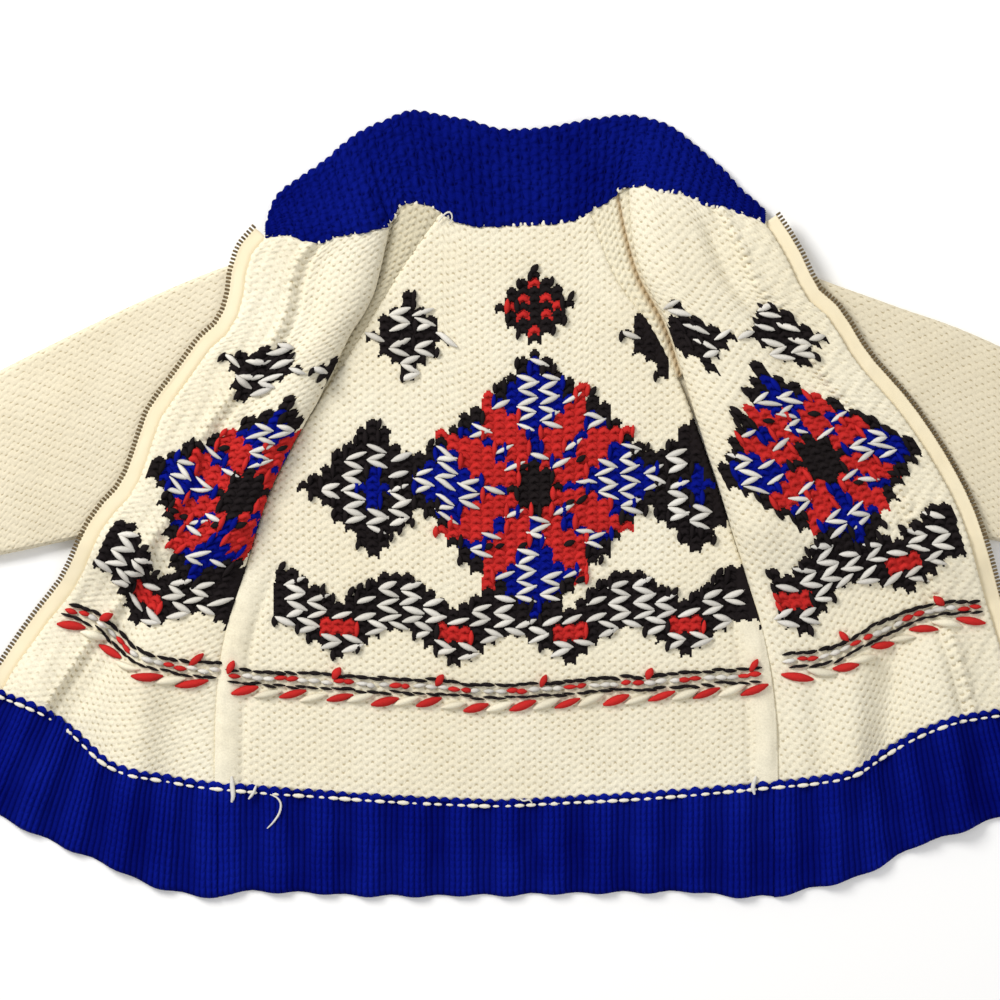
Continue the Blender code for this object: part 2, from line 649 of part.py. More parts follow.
def neck_line():
    """The neck seam from the left front to the right one, with the height of the cloth below it."""
    parts = []
    for side in ("left", "right"):
        shape = SIDES[side]
        grid, _ = front_middle(side)
        front_edge = grid[0]
        cap = smooth_line(shape["cap_edge"], 10)[1:-1]
        climb = np.linspace(0, 1, len(cap))[:, None] ** 3
        cap = np.column_stack([cap, COLLAR_WALL / 2 + (ROLLS[0].edge - COLLAR_WALL / 2) * climb])
        parts.append((front_edge, cap))
    neck = smooth_line(BACK_NECK, 24)
    neck = np.column_stack([neck, np.full(len(neck), COLLAR_WALL / 2)])
    (left_front, left_cap), (right_front, right_cap) = parts
    return np.vstack([left_front[::-1], left_cap[::-1], neck, right_cap, right_front])


def collar():
    """The collar spread above the neck, with a ridge and a scallop for each pair of its rows."""
    cols = COLLAR_RIDGES * 3 + 1
    shares = np.linspace(0, 1, cols)
    seam = along(neck_line(), shares)
    rim = along(smooth_line(COLLAR_EDGE, 160), shares)
    rim = np.column_stack([rim, np.full(cols, COLLAR_WALL / 2)])
    way = rim - seam
    length = np.linalg.norm(way[:, :2], axis=1)[:, None]
    ridge = np.maximum(np.cos(2 * math.pi * shares * COLLAR_RIDGES), 0)
    rim = rim + way / length * (RIDGE_SCALLOP * (ridge - 1))[:, None]
    seam = seam + way / length * SEAM_GAP * 2
    down, ridge_share, thick = np.array(COLLAR_ROWS).T
    sag = 1 - ease(down)
    grid = seam + (rim - seam) * down[:, None, None]
    grid[..., 2] = rim[..., 2] + (seam[..., 2] - rim[..., 2]) * sag[:, None]
    lower = grid - (0, 0, COLLAR_WALL / 2)
    lower[..., 2] = np.maximum(lower[..., 2], 0)
    upper = grid.copy()
    upper[..., 2] += COLLAR_WALL / 2 * thick[:, None] + ridge[None, :] * RIDGE_RAISE * ridge_share[:, None]
    return wall("collar", drawn_in(upper), drawn_in(lower), BLUE, plain_under=True)


def zip_path(side):
    """The knit edge from the neck to the hem's foot, with the height of the wall's middle."""
    edge, corner = knit_edge(side)
    grid, _ = front_middle(side)
    heights = grid[:, -1, 2]
    line = np.column_stack([edge, heights])
    foot = np.array([*corner, LYING])
    hem = line[-1] + (foot - line[-1]) * np.array([0.25, 0.5, 0.75, 1])[:, None]
    return np.vstack([line, hem])


def strip_along(name, side, near, width, height, line, look):
    """A strip of square section that follows the zip's edge, from near to near + width away from it."""
    out = SIDES[side]["out"]
    near_line, far_line = moved_out(line, near, out), moved_out(line, near + width, out)
    upper = np.stack([np.column_stack([near_line, line[:, 2] + height / 2]),
                      np.column_stack([far_line, line[:, 2] + height / 2])], axis=1)
    lower = upper - (0, 0, height)
    return wall(name, upper, lower, look)


def shortened(line, by):
    """The line without its last stretch of the given length."""
    length = np.linalg.norm(np.diff(line[:, :2], axis=0), axis=1).sum()
    reached = np.concatenate([[0], np.cumsum(np.linalg.norm(np.diff(line[:, :2], axis=0), axis=1))])
    kept = line[reached < length - by - 1]
    return np.vstack([kept, along(line, [1 - by / length])])


def zip_frame(side, from_end):
    """A place on the chain's middle near the hem, with the way along the zip and the way out."""
    line = zip_path(side)
    middle = np.column_stack([moved_out(line, TEETH_FROM_KNIT, SIDES[side]["out"]), line[:, 2]])
    length = np.linalg.norm(np.diff(middle[:, :2], axis=0), axis=1).sum()
    place = along(middle, [1 - from_end / length])[0]
    way = middle[-1, :2] - middle[-2, :2]
    way /= np.linalg.norm(way)
    out = np.array([-way[1], way[0]]) * SIDES[side]["out"]
    return place, way, out


def block(name, place, way, out, box, look, bevel=0.0):
    """A block given by its extent along the zip, away from it and in height, with bevelled edges."""
    (a0, a1), (b0, b1), (z0, z1) = box
    corners = [(a, b, z) for z in (z0, z1) for a, b in ((a0, b0), (a1, b0), (a1, b1), (a0, b1))]
    points = [(*(place[:2] + way * a + out * b), z) for a, b, z in corners]
    faces = [(0, 1, 2, 3), (4, 5, 6, 7), (0, 1, 5, 4), (1, 2, 6, 5), (2, 3, 7, 6), (3, 0, 4, 7)]
    obj = mesh_object(name, points, faces, look)
    if bevel:
        edge = obj.modifiers.new("Rounded edges", "BEVEL")
        edge.width = bevel * MM
        edge.segments = 1
        edge.limit_method = "ANGLE"
    return obj


def rod(name, place, way, out, across, height, radius):
    """A round bar that lies across the zip."""
    turns = (np.arange(HINGE_SIDES) + 0.5) / HINGE_SIDES * math.tau
    points = [(*(place[:2] + way * radius * math.cos(turn) + out * side), height + radius * math.sin(turn))
              for side in across for turn in turns]
    count = HINGE_SIDES
    faces = [(i, (i + 1) % count, count + (i + 1) % count, count + i) for i in range(count)]
    faces += [tuple(range(count)), tuple(range(count, 2 * count))]
    return mesh_object(name, points, faces, BRASS)


def helper(obj):
    """Keeps an object out of the model: it only shapes another one."""
    obj.hide_render = True
    obj.display_type = "WIRE"
    return obj


def joined(obj, others, operation):
    """Adds other closed shapes to an object, or cuts them from it."""
    for other in others:
        boolean = obj.modifiers.new(other.name, "BOOLEAN")
        boolean.operation = operation
        boolean.solver = "EXACT"
        boolean.object = helper(other)


def zip_ends():
    """The slider with its pull tab and box on the right chain, and the pin on the left one."""
    place, way, out = zip_frame("right", BOX_LENGTH + SEAM_GAP + SLIDER_ABOVE_BOX + SLIDER_LENGTH / 2)
    level = place[2]
    chain_low, chain_high = level - CHAIN_WALL / 2, level + CHAIN_WALL / 2
    half = SLIDER_LENGTH / 2
    far = CHAIN_WIDTH / 2
    post = far + PLATE_GAP
    width = (-far - PLATE_GAP, far + CHAIN_WIDTH + POST_WIDTH + 2 * PLATE_GAP)
    plate_top = chain_high + PLATE_GAP + PLATE_WALL
    middle = post + POST_WIDTH / 2
    slider = block("zip_slider", place, way, out,
                   ((-half, half), width, (chain_high + PLATE_GAP, plate_top)), BRASS)
    low_plate = block("slider_low_plate", place, way, out,
                      ((-half, half), width,
                       (chain_low - PLATE_GAP - PLATE_WALL, chain_low - PLATE_GAP)), BRASS)
    post_start = POST_FROM_END - half
    post_block = block("slider_post", place, way, out,
                       ((post_start, post_start + POST_LENGTH), (post, post + POST_WIDTH),
                        (chain_low - PLATE_GAP - SUNK, chain_high + PLATE_GAP + SUNK)), BRASS)
    hinge = plate_top + HINGE_ABOVE_PLATE
    lug_start = TAB_EYE_LENGTH / 2 + TAB_EYE_GAP
    lugs = [block("slider_lug", place, way, out,
                  ((-LUG_HALF, LUG_HALF),
                   (min(start, start + turned * LUG_WALL), max(start, start + turned * LUG_WALL)),
                   (plate_top - SUNK, hinge + LUG_ABOVE_HINGE)), BRASS)
            for start, turned in ((middle + lug_start, 1), (middle - lug_start, -1))]
    hinge_rod = rod("slider_rod", place, way, out,
                    (middle - lug_start - SUNK, middle + lug_start + SUNK), hinge, HINGE_ROD)
    joined(slider, [low_plate, post_block, *lugs, hinge_rod], "UNION")
    eye = (middle - TAB_EYE_LENGTH / 2, middle + TAB_EYE_LENGTH / 2)
    low, high = hinge - TAB_WALL / 2, hinge + TAB_WALL / 2
    tab = rod("zip_pull_tab", place, way, out, eye, hinge, TAB_EYE)
    neck = block("tab_neck", place, way, out, ((-TAB_NECK - SUNK, -TAB_EYE_HOLE), eye, (low, high)), BRASS)
    plate = block("tab_plate", place, way, out,
                  ((-TAB_LENGTH, -TAB_NECK), (middle - TAB_WIDTH / 2, middle + TAB_WIDTH / 2), (low, high)),
                  BRASS)
    hole = rod("tab_hole", place, way, out, (eye[0] - SUNK, eye[1] + SUNK), hinge, TAB_EYE_HOLE)
    slot_start = TAB_SLOT_FROM_END - TAB_LENGTH
    slot = block("tab_slot", place, way, out,
                 ((slot_start, slot_start + TAB_SLOT_LENGTH),
                  (middle - TAB_SLOT_WIDTH / 2, middle + TAB_SLOT_WIDTH / 2), (low - SUNK, high + SUNK)), BRASS)
    joined(tab, [neck, plate], "UNION")
    joined(tab, [hole, slot], "DIFFERENCE")
    set_axis(tab, place[:2] + out * middle, hinge)
    foot, way, out = zip_frame("right", BOX_LENGTH / 2)
    block("zip_retainer_box", foot, way, out,
          ((-BOX_LENGTH / 2, BOX_LENGTH / 2), (BOX_OFFSET - BOX_WIDTH / 2, BOX_OFFSET + BOX_WIDTH / 2),
           (BOX_ABOVE_TABLE, BOX_ABOVE_TABLE + BOX_HEIGHT)), BRASS, bevel=0.4)
    foot, way, out = zip_frame("left", PIN_LENGTH / 2)
    block("zip_insertion_pin", foot, way, out,
          ((-PIN_LENGTH / 2, PIN_LENGTH / 2), (-PIN_WIDTH / 2, PIN_WIDTH / 2),
           (level - PIN_WIDTH / 2, level + PIN_WIDTH / 2)), BRASS, bevel=0.3)


def set_axis(obj, plan, height):
    """Moves an object's origin to a point on its hinge."""
    origin = np.array([plan[0], plan[1], height]) * MM
    for vertex in obj.data.vertices:
        vertex.co = np.array(vertex.co) - origin
    obj.location = origin


def zips():
    """Tape and chain along each front, down to the hem's foot."""
    for side, end in (("left", PIN_LENGTH), ("right", BOX_LENGTH)):
        line = zip_path(side)
        strip_along("zip_tape_" + side, side, SEAM_GAP, TAPE_WIDTH, TAPE_WALL, line, TAPE)
        chain = shortened(line, end + SEAM_GAP)
        strip_along("zip_teeth_" + side, side, SEAM_GAP + TAPE_WIDTH + SEAM_GAP, CHAIN_WIDTH,
                    CHAIN_WALL, chain, BRASS)
    zip_ends()


def centre_on_table():
    """Moves the whole garment so that its box is centred over the origin, on the table."""
    low, high = np.full(3, np.inf), np.full(3, -np.inf)
    for obj in bpy.data.objects:
        if obj.hide_render:
            continue
        points = np.array([obj.matrix_world @ v.co for v in obj.data.vertices])
        low, high = np.minimum(low, points.min(axis=0)), np.maximum(high, points.max(axis=0))
    shift = (low + high) / 2
    for obj in bpy.data.objects:
        obj.location.x -= shift[0]
        obj.location.y -= shift[1]
        obj.location.z -= low[2]


def main():
    for obj in list(bpy.data.objects):
        bpy.data.objects.remove(obj)
    back()
    for side in SIDES:
        front(side)
        sleeve(side)
        cuff(side)
    hems()
    collar()
    zips()
    bpy.context.view_layer.update()
    centre_on_table()


main()
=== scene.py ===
# Looks for the child's zip cardigan, laid open and inside up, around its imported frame.
# Lengths in the tables are millimetres: x to the right, y from the hem to the collar, z up from the table.
import math
from collections import namedtuple
from functools import partial

import bmesh
import bpy
import numpy as np
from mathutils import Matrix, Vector


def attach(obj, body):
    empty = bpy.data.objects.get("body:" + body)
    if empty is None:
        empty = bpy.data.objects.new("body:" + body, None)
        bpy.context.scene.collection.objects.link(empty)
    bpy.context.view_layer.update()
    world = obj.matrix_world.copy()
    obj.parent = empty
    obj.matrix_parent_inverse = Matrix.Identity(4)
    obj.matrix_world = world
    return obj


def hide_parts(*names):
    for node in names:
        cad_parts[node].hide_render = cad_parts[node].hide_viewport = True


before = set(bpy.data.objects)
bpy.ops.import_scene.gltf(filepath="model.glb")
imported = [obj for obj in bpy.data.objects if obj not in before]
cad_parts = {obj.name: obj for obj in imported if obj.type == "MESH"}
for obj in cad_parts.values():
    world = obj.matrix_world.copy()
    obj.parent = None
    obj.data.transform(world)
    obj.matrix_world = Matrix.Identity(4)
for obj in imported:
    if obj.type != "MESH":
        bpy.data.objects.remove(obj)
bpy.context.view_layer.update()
mm = 0.001
body = "cardigan"

Roll = namedtuple("Roll", "share edge extra reach")
Fold = namedtuple("Fold", "fromX fromY toX toY width height")
Section = namedtuple("Section", "topX topY lowX lowY height crown")

cloth = {
    "wall": 4.4, "seamGap": 0.3, "ribWall": 3.6, "ribRaise": 2.2,
    "collarWall": 4.4, "collarRidges": 57, "ridgeRaise": 1.6, "scallop": 1.4,
    "bandWidth": 33.0, "bandRaise": 1.6, "bandStep": 4.0,
    "tapeWidth": 8.6, "chainWidth": 4.0,
    "overSleeve": 14.4, "beyondSleeveTop": 0.35, "sleeveClear": 3.0, "sleeveDrop": 46.0,
    "sleeveTopFall": 34.0, "rollFade": 45.0,
    "wale": 7.5, "course": 5.1,
}
lying = cloth["wall"] / 2
zipPoints = 26
teethFromKnit = 2 * cloth["seamGap"] + cloth["tapeWidth"] + cloth["chainWidth"] / 2

backNeck = [(-38, 190), (-31, 185), (-16, 181), (0, 181), (20, 182), (39, 183), (52, 186), (58, 191)]
backHem = [(-183, -182), (-149, -185), (-118, -187), (-76, -190), (-35, -192), (0, -193),
           (42, -191), (83, -189), (124, -186), (166, -182), (178, -181)]
backHemLow = [(-183, -255), (-170, -252), (-138, -252), (-97, -254), (-56, -255), (0, -254),
              (42, -253), (83, -252), (124, -252), (151, -255), (178, -255)]
sides = {
    "left": {
        "out": -1,
        "backEdge": [(-38, 190), (-65, 151), (-94, 104), (-117, 68), (-136, 35), (-151, 3),
                     (-163, -36), (-177, -88), (-182, -130), (-183, -182)],
        "crease": [(-71, 181), (-81, 139), (-100, 104), (-117.5, 68), (-136, 35), (-151, 3),
                   (-163, -36), (-177, -88), (-182, -130), (-183, -182)],
        "frontNeck": [(-71, 181), (-88, 176), (-103, 174), (-117, 169), (-127, 170), (-136, 173),
                      (-148, 177)],
        "cap": [(-50, 193), (-61.5, 193), (-67.5, 184.5), (-79, 178.5)],
        "capEdge": [(-38, 190), (-46, 194.5), (-55, 195.5), (-63, 196), (-68, 189), (-71, 181)],
        "zip": [(-159, 180), (-169, 169), (-175, 154), (-176, 136), (-181, 120), (-192, 112),
                (-215, 80), (-227, 65), (-235, 43), (-244, 17), (-258, 1), (-269, -15),
                (-283, -45), (-304, -72), (-325, -103), (-333, -117)],
        "zipCorner": (-363, -174),
        "hem": [(-183, -182), (-201, -180), (-222, -176), (-242, -172), (-257, -165), (-269, -154),
                (-283, -141), (-302, -130), (-323, -123)],
        "hemLow": [(-183, -255), (-201, -253), (-222, -249), (-242, -241), (-263, -231), (-283, -223),
                   (-304, -213), (-325, -202), (-353, -181)],
        "sections": [
            Section(-100, 169, -166, -6, 8.6, 0.4),
            Section(-140, 163, -195, -10, 8.8, 0.8),
            Section(-176, 155, -225, -14, 9.2, 1.4),
            Section(-232, 132, -268, -21, 9.8, 1.8),
            Section(-294, 102, -315, -31, 10.4, 2.2),
            Section(-350, 74, -348, -37, 10.4, 2.0),
            Section(-406, 46, -377, -39, 9.6, 1.2),
            Section(-463, 25, -437, -53, 9.6, 0.8),
        ],
    },
    "right": {
        "out": 1,
        "backEdge": [(58, 191), (75, 147), (97, 117), (115, 82), (126, 55), (142, 9),
                     (159, -46), (171, -95), (177, -140), (178, -181)],
        "crease": [(83, 206), (84, 180), (91, 150), (107, 119), (117, 88), (127, 55), (142, 9),
                   (159, -46), (171, -95), (177, -140), (178, -181)],
        "frontNeck": [(83, 206), (96, 206), (104, 202), (119, 201), (132, 194), (148, 191), (168, 189)],
        "cap": [(66.5, 192), (74.5, 196.5), (82.5, 201.5), (93, 199)],
        "capEdge": [(58, 191), (66, 195), (73, 199), (78, 205), (83, 206)],
        "zip": [(180, 188), (194, 166), (207, 139), (220, 129), (239, 98), (263, 71), (286, 38),
                (305, 3), (316, -28), (325, -57), (335, -90), (346, -130)],
        "zipCorner": (363, -190),
        "hem": [(178, -181), (207, -178), (228, -173), (249, -161), (269, -149), (290, -140),
                (311, -136), (335, -133)],
        "hemLow": [(178, -255), (197, -251), (228, -243), (249, -234), (269, -223), (290, -215),
                   (311, -208), (325, -203), (352, -193)],
        "sections": [
            Section(104, 186, 160, -5, 8.6, 0.4),
            Section(150, 168, 190, -7, 8.8, 0.8),
            Section(205, 147, 225, -9, 9.2, 1.4),
            Section(255, 129, 262, -12, 9.8, 1.8),
            Section(300, 113, 303, -20, 10.4, 2.2),
            Section(352, 89, 340, -27, 10.4, 2.0),
            Section(405, 60, 376, -32, 9.6, 1.2),
            Section(463, 32, 437, -47, 9.6, 0.8),
        ],
    },
}
rolls = [Roll(0.00, 4.9, 1.0, 20), Roll(0.15, 4.9, 2.8, 22), Roll(0.35, 4.9, 3.0, 22),
         Roll(0.50, 4.9, 2.6, 20), Roll(0.60, 2.8, 3.0, 18), Roll(0.72, 2.2, 3.6, 16),
         Roll(0.86, 2.2, 1.6, 13), Roll(1.00, 2.2, 0.2, 12)]
folds = [Fold(222, -70, 226, -240, 13, 5.5), Fold(283, -60, 292, -215, 17, 8.5),
         Fold(-232, -70, -238, -235, 14, 6.0), Fold(-296, -85, -306, -200, 15, 7.0),
         Fold(237, -70, 229, -190, 9, 4.0), Fold(259, -68, 250, -168, 9, -3.6),
         Fold(193, -95, 198, -180, 8, 2.0), Fold(-206, -122, -212, -182, 16, -2.4)]
collarEdge = [(-151, 184), (-148, 195), (-139, 207), (-115, 223), (-101, 236), (-84, 246), (-66, 254),
              (-54, 256), (-25, 251), (6, 244), (39, 247), (76, 253), (105, 249), (123, 237),
              (142, 221), (155, 207), (164, 199), (171, 192)]


# lines and surfaces

def lengths(line):  # how far along the line each point lies
    return np.concatenate([[0], np.cumsum(np.linalg.norm(np.diff(line, axis=0), axis=1))])


def readOff(at, known, values):  # each column of the values, read off at new places
    return np.stack([np.interp(at, known, column) for column in values.T], axis=-1)


def along(line, shares):  # points at shares of a line's length, measured from above
    line = np.asarray(line, float)
    reached = lengths(line[:, :2])
    return readOff(np.asarray(shares, float), reached / reached[-1], line)


def smoothLine(points, count):  # even points on a smooth curve through the given ones
    points = np.asarray(points, float)
    padded = np.vstack([2 * points[0] - points[1], points, 2 * points[-1] - points[-2]])
    fine = []
    for i in range(len(points) - 1):
        a, b, c, d = padded[i:i + 4]
        for t in np.linspace(0, 1, 12, endpoint=False):
            fine.append((2 * b + (c - a) * t + (2 * a - 5 * b + 4 * c - d) * t**2
                         + (3 * b - a - 3 * c + d) * t**3) / 2)
    fine.append(points[-1])
    return along(fine, np.linspace(0, 1, count))


def resampled(line, spacing):
    return along(line, np.linspace(0, 1, max(int(lengths(line[:, :2])[-1] / spacing), 2)))


def tableValue(rows, column, at):
    line = smoothLine([(row.share, getattr(row, column)) for row in rows], 120)
    return np.interp(at, line[:, 0], line[:, 1])


def ease(x):
    x = np.clip(x, 0, 1)
    return x * x * (3 - 2 * x)


def bell(away, width):
    return np.exp(-(away / width) ** 2)


def roundEdge(inward, radius, least=0.0):  # height of a rounded edge, as a share, so far in from it
    return np.sqrt(np.clip(1 - (1 - np.clip(inward / radius, 0, 1)) ** 2, least, 1))


def movedOut(line, distance, out):  # the line moved sideways, away from the garment
    line = np.asarray(line, float)
    way = np.gradient(line[:, :2], axis=0)
    way /= np.linalg.norm(way, axis=1)[:, None]
    return line[:, :2] + np.stack([-way[:, 1], way[:, 0]], axis=1) * out * distance


def patchPoint(top, bottom, inner, outer, down, across):  # a surface that meets four border lines
    down3, across3 = down[..., None], across[..., None]
    between = (1 - across3) * along(inner, down) + across3 * along(outer, down)
    between = between + (1 - down3) * along(top, across) + down3 * along(bottom, across)
    corners = (1 - down3) * ((1 - across3) * top[0] + across3 * top[-1])
    return between - corners - down3 * ((1 - across3) * bottom[0] + across3 * bottom[-1])


def foldHeight(x, y):
    lift = np.zeros_like(x)
    for fold in folds:
        way = np.array([fold.toX - fold.fromX, fold.toY - fold.fromY], float)
        length = np.linalg.norm(way)
        way /= length
        run = ((x - fold.fromX) * way[0] + (y - fold.fromY) * way[1]) / length
        off = (x - fold.fromX) * way[1] - (y - fold.fromY) * way[0]
        lift = lift + fold.height * bell(off, fold.width) * ease(run / 0.3) * ease((1.15 - run) / 0.3)
    return lift


def waves(x, y, seed, longest, count=7):  # soft uneven waves between -1 and 1
    draw = np.random.default_rng(seed)
    total = np.zeros_like(x)
    for k in range(count):
        turn = draw.uniform(0, math.tau)
        size = longest / (1 + 0.45 * k)
        phase = draw.uniform(0, math.tau)
        run = x * math.cos(turn) + y * math.sin(turn)
        total = total + np.sin(run * math.tau / size + phase) / (1 + 0.35 * k)
    return total / 3


def knitEdge(side):  # the knit's edge at the zip, and the hem's corner
    shape = sides[side]
    line = np.vstack([smoothLine(shape["zip"], zipPoints), shape["zipCorner"]])
    edge = movedOut(line, -teethFromKnit, shape["out"])
    upper = edge[:-1]
    for _ in range(4):
        upper = along(upper, np.linspace(0, 1, zipPoints))
    return upper, edge[-1]


def frontBorders(side):
    shape = sides[side]
    zipEdge, _ = knitEdge(side)
    neck = smoothLine(shape["frontNeck"][:-1] + [tuple(zipEdge[0])], 60)
    hem = smoothLine(shape["hem"][:-1] + [tuple(zipEdge[-1])], 60)
    return neck, hem, smoothLine(shape["crease"], 120), zipEdge


def sleeveLift(side, x, y):  # 1 where the front lies over the sleeve, 0 beyond it
    rows, out = sides[side]["sections"], sides[side]["out"]
    low = np.interp(x * out, [row.lowX * out for row in rows], [row.lowY for row in rows])
    top = np.interp(x * out, [row.topX * out for row in rows], [row.topY for row in rows])
    below = 1 - ease((low - cloth["sleeveClear"] - y) / cloth["sleeveDrop"])
    beyond = ease((y - top - cloth["sleeveClear"]) / cloth["sleeveTopFall"])
    return below * (1 - cloth["beyondSleeveTop"] * beyond)


def frontMiddle(side, down, turns=16, plain=80):  # middle of the front's wall, from the crease to the zip
    neck, hem, crease, zipEdge = frontBorders(side)
    inner, outer = along(crease, down), along(zipEdge, down)
    width = np.linalg.norm(outer - inner, axis=1)[:, None]
    edge, extra, reach = (tableValue(rolls, name, down)[:, None] for name in ("edge", "extra", "reach"))
    turn = np.linspace(0, math.pi / 2, turns)
    off = np.hstack([reach * (1 - np.cos(turn)), reach + (width - reach) * np.linspace(0, 1, plain)[1:]])
    fromCrease = lying + off * (width - lying) / width
    rows = np.repeat(down[:, None], off.shape[1], 1)
    plan = patchPoint(neck, hem, crease, zipEdge, rows, fromCrease / width)
    x, y = plan[..., 0], plan[..., 1]
    rest = lying + (cloth["overSleeve"] - lying) * sleeveLift(side, x, y) + foldHeight(x, y)
    crest = rest + extra * (1 - ease((off - reach) / cloth["rollFade"]))
    return np.dstack([x, y, edge + (crest - edge) * roundEdge(off, reach)])


def normalsOf(grid):
    normal = np.cross(np.gradient(grid, axis=1), np.gradient(grid, axis=0))
    normal /= np.linalg.norm(normal, axis=2)[..., None] + 1e-9
    return normal * np.sign(normal[..., 2].mean())


# meshes

def placed(name, data):  # an object of this data, in the scene
    obj = bpy.data.objects.new(name, data)
    bpy.context.scene.collection.objects.link(obj)
    return obj


def clampedIndex(first, last, cols):  # vertex numbers of a grid whose rows end at first and last
    rows = len(first)
    columns = np.clip(np.arange(cols)[None, :], first[:, None], last[:, None])
    kept, index = np.unique(np.arange(rows)[:, None] * cols + columns, return_inverse=True)
    return kept, index.reshape(rows, cols)


def gridFaces(index):  # quads and triangles of such a grid
    a, b = index[:-1, :-1].ravel(), index[:-1, 1:].ravel()
    c, d = index[1:, 1:].ravel(), index[1:, :-1].ravel()
    flatTop, flatLow = a == b, c == d
    quads = np.stack([a, b, c, d], 1)[~flatTop & ~flatLow]
    upper, lower = np.stack([a, c, d], 1)[flatTop & ~flatLow], np.stack([a, b, c], 1)[~flatTop & flatLow]
    return quads, np.vstack([upper, lower])


def tubeFaces(rings, around):
    index = np.arange(rings * around).reshape(rings, around)
    closed = np.concatenate([index, index[:, :1]], axis=1)
    return np.stack([closed[:-1, :-1], closed[:-1, 1:], closed[1:, 1:], closed[1:, :-1]], -1).reshape(-1, 4)


def rim(index):  # the four sides of a grid, in turn
    lines = [index[0], index[:, -1], index[-1, ::-1], index[::-1, 0]]
    return [line[np.concatenate([[True], line[1:] != line[:-1]])] for line in lines]


def bridge(upper, lower, points):  # triangles between two lines that run side by side
    shares = []
    for line in (upper, lower):
        reached = lengths(points[line])
        shares.append(reached / max(reached[-1], 1e-9))
    i = j = 0
    tris = []
    while i < len(upper) - 1 or j < len(lower) - 1:
        if j == len(lower) - 1 or (i < len(upper) - 1 and shares[0][i + 1] <= shares[1][j + 1]):
            tris.append((upper[i], upper[i + 1], lower[j]))
            i += 1
        else:
            tris.append((upper[i], lower[j + 1], lower[j]))
            j += 1
    return tris


def meshPiece(name, points, quads, tris, stitch, faceColour=None):
    quads, tris = np.asarray(quads, int).reshape(-1, 4), np.asarray(tris, int).reshape(-1, 3)
    mesh = bpy.data.meshes.new(name)
    sizes = np.concatenate([np.full(len(quads), 4), np.full(len(tris), 3)])
    loops = np.concatenate([quads.ravel(), tris.ravel()])
    mesh.vertices.add(len(points))
    mesh.vertices.foreach_set("co", (np.asarray(points) * mm).ravel())
    mesh.loops.add(len(loops))
    mesh.loops.foreach_set("vertex_index", loops)
    mesh.polygons.add(len(sizes))
    mesh.polygons.foreach_set("loop_start", np.concatenate([[0], np.cumsum(sizes)[:-1]]))
    mesh.update(calc_edges=True)
    shape = bmesh.new()
    shape.from_mesh(mesh)
    bmesh.ops.recalc_face_normals(shape, faces=shape.faces)
    shape.to_mesh(mesh)
    shape.free()
    mesh.shade_smooth()
    mesh.attributes.new("stitch", "FLOAT_VECTOR", "POINT").data.foreach_set("vector", stitch.ravel())
    if faceColour is not None:
        colours = mesh.color_attributes.new("yarn", "FLOAT_COLOR", "CORNER")
        colours.data.foreach_set("color", np.repeat(faceColour, sizes, axis=0).ravel())
    return placed(name, mesh)


def shellPiece(name, top, low, stitch, step, ends=None, colourOf=None):
    # a closed thin shell: a fine upper face over a coarse underside, whose rows and columns lie further apart
    rows, cols = top.shape[:2]
    first, last = ends or (np.zeros(rows, int), np.full(rows, cols - 1))
    kept, index = clampedIndex(first, last, cols)
    quads, tris = gridFaces(index)
    pickRows = np.unique(np.append(np.arange(0, rows, step[0]), rows - 1))
    pickCols = np.unique(np.append(np.arange(0, cols, step[1]), cols - 1))
    lowGrid = low[np.ix_(pickRows, pickCols)]
    edgeFirst, edgeLast = first[pickRows], last[pickRows]
    for r, row in enumerate(pickRows):  # ends of each coarse row lie exactly on the outline
        lowGrid[r, pickCols <= edgeFirst[r]] = low[row, edgeFirst[r]]
        lowGrid[r, pickCols >= edgeLast[r]] = low[row, edgeLast[r]]
    lowFirst = np.array([np.max(np.nonzero(pickCols <= f)[0]) for f in edgeFirst])
    lowLast = np.array([np.min(np.nonzero(pickCols >= f)[0]) for f in edgeLast])
    lowKept, lowIndex = clampedIndex(lowFirst, lowLast, len(pickCols))
    lowIndex = lowIndex + len(kept)
    points = np.vstack([top.reshape(-1, 3)[kept], lowGrid.reshape(-1, 3)[lowKept]])
    lowQuads, lowTris = gridFaces(lowIndex)
    sideTris = []
    for upperLine, lowerLine in zip(rim(index), rim(lowIndex)):
        sideTris += bridge(upperLine, lowerLine, points)
    coords = np.vstack([stitch.reshape(-1, 3)[kept], np.zeros((len(lowKept), 3))])
    colours = None
    if colourOf is not None:
        def below(count):  # faces that show no pattern
            return colourOf(np.full((count, 3), -999.0))
        colours = np.vstack([colourOf(coords[quads].mean(axis=1)), below(len(lowQuads)),
                             colourOf(coords[tris].mean(axis=1)), below(len(lowTris) + len(sideTris))])
    return meshPiece(name, points, np.vstack([quads, lowQuads]), np.vstack([tris, lowTris, sideTris]), coords,
                     colours)


def bmeshPiece(name, shape):
    mesh = bpy.data.meshes.new(name)
    shape.to_mesh(mesh)
    shape.free()
    return placed(name, mesh)


def linePiece(name, lines, widths=None, colours=None):  # plain edges for the trees to follow
    edges, start = [], 0
    for line in lines:
        edges += [(start + k, start + k + 1) for k in range(len(line) - 1)]
        start += len(line)
    mesh = bpy.data.meshes.new(name)
    mesh.from_pydata([tuple(p) for p in np.vstack(lines) * mm], edges, [])
    if widths is not None:
        mesh.attributes.new("width", "FLOAT", "POINT").data.foreach_set("value", np.asarray(widths, float))
        yarn = mesh.color_attributes.new("yarn", "FLOAT_COLOR", "POINT")
        yarn.data.foreach_set("color", np.asarray(colours).ravel())
    return placed(name, mesh)


# nodes

floatKind, geometryKind = "NodeSocketFloat", "NodeSocketGeometry"
materialSocket = ("Material", "NodeSocketMaterial", None)
knitSockets = [("Shape", floatKind, 0.25), ("Yarn", floatKind, 0.4), ("Dive", floatKind, 0.4)]


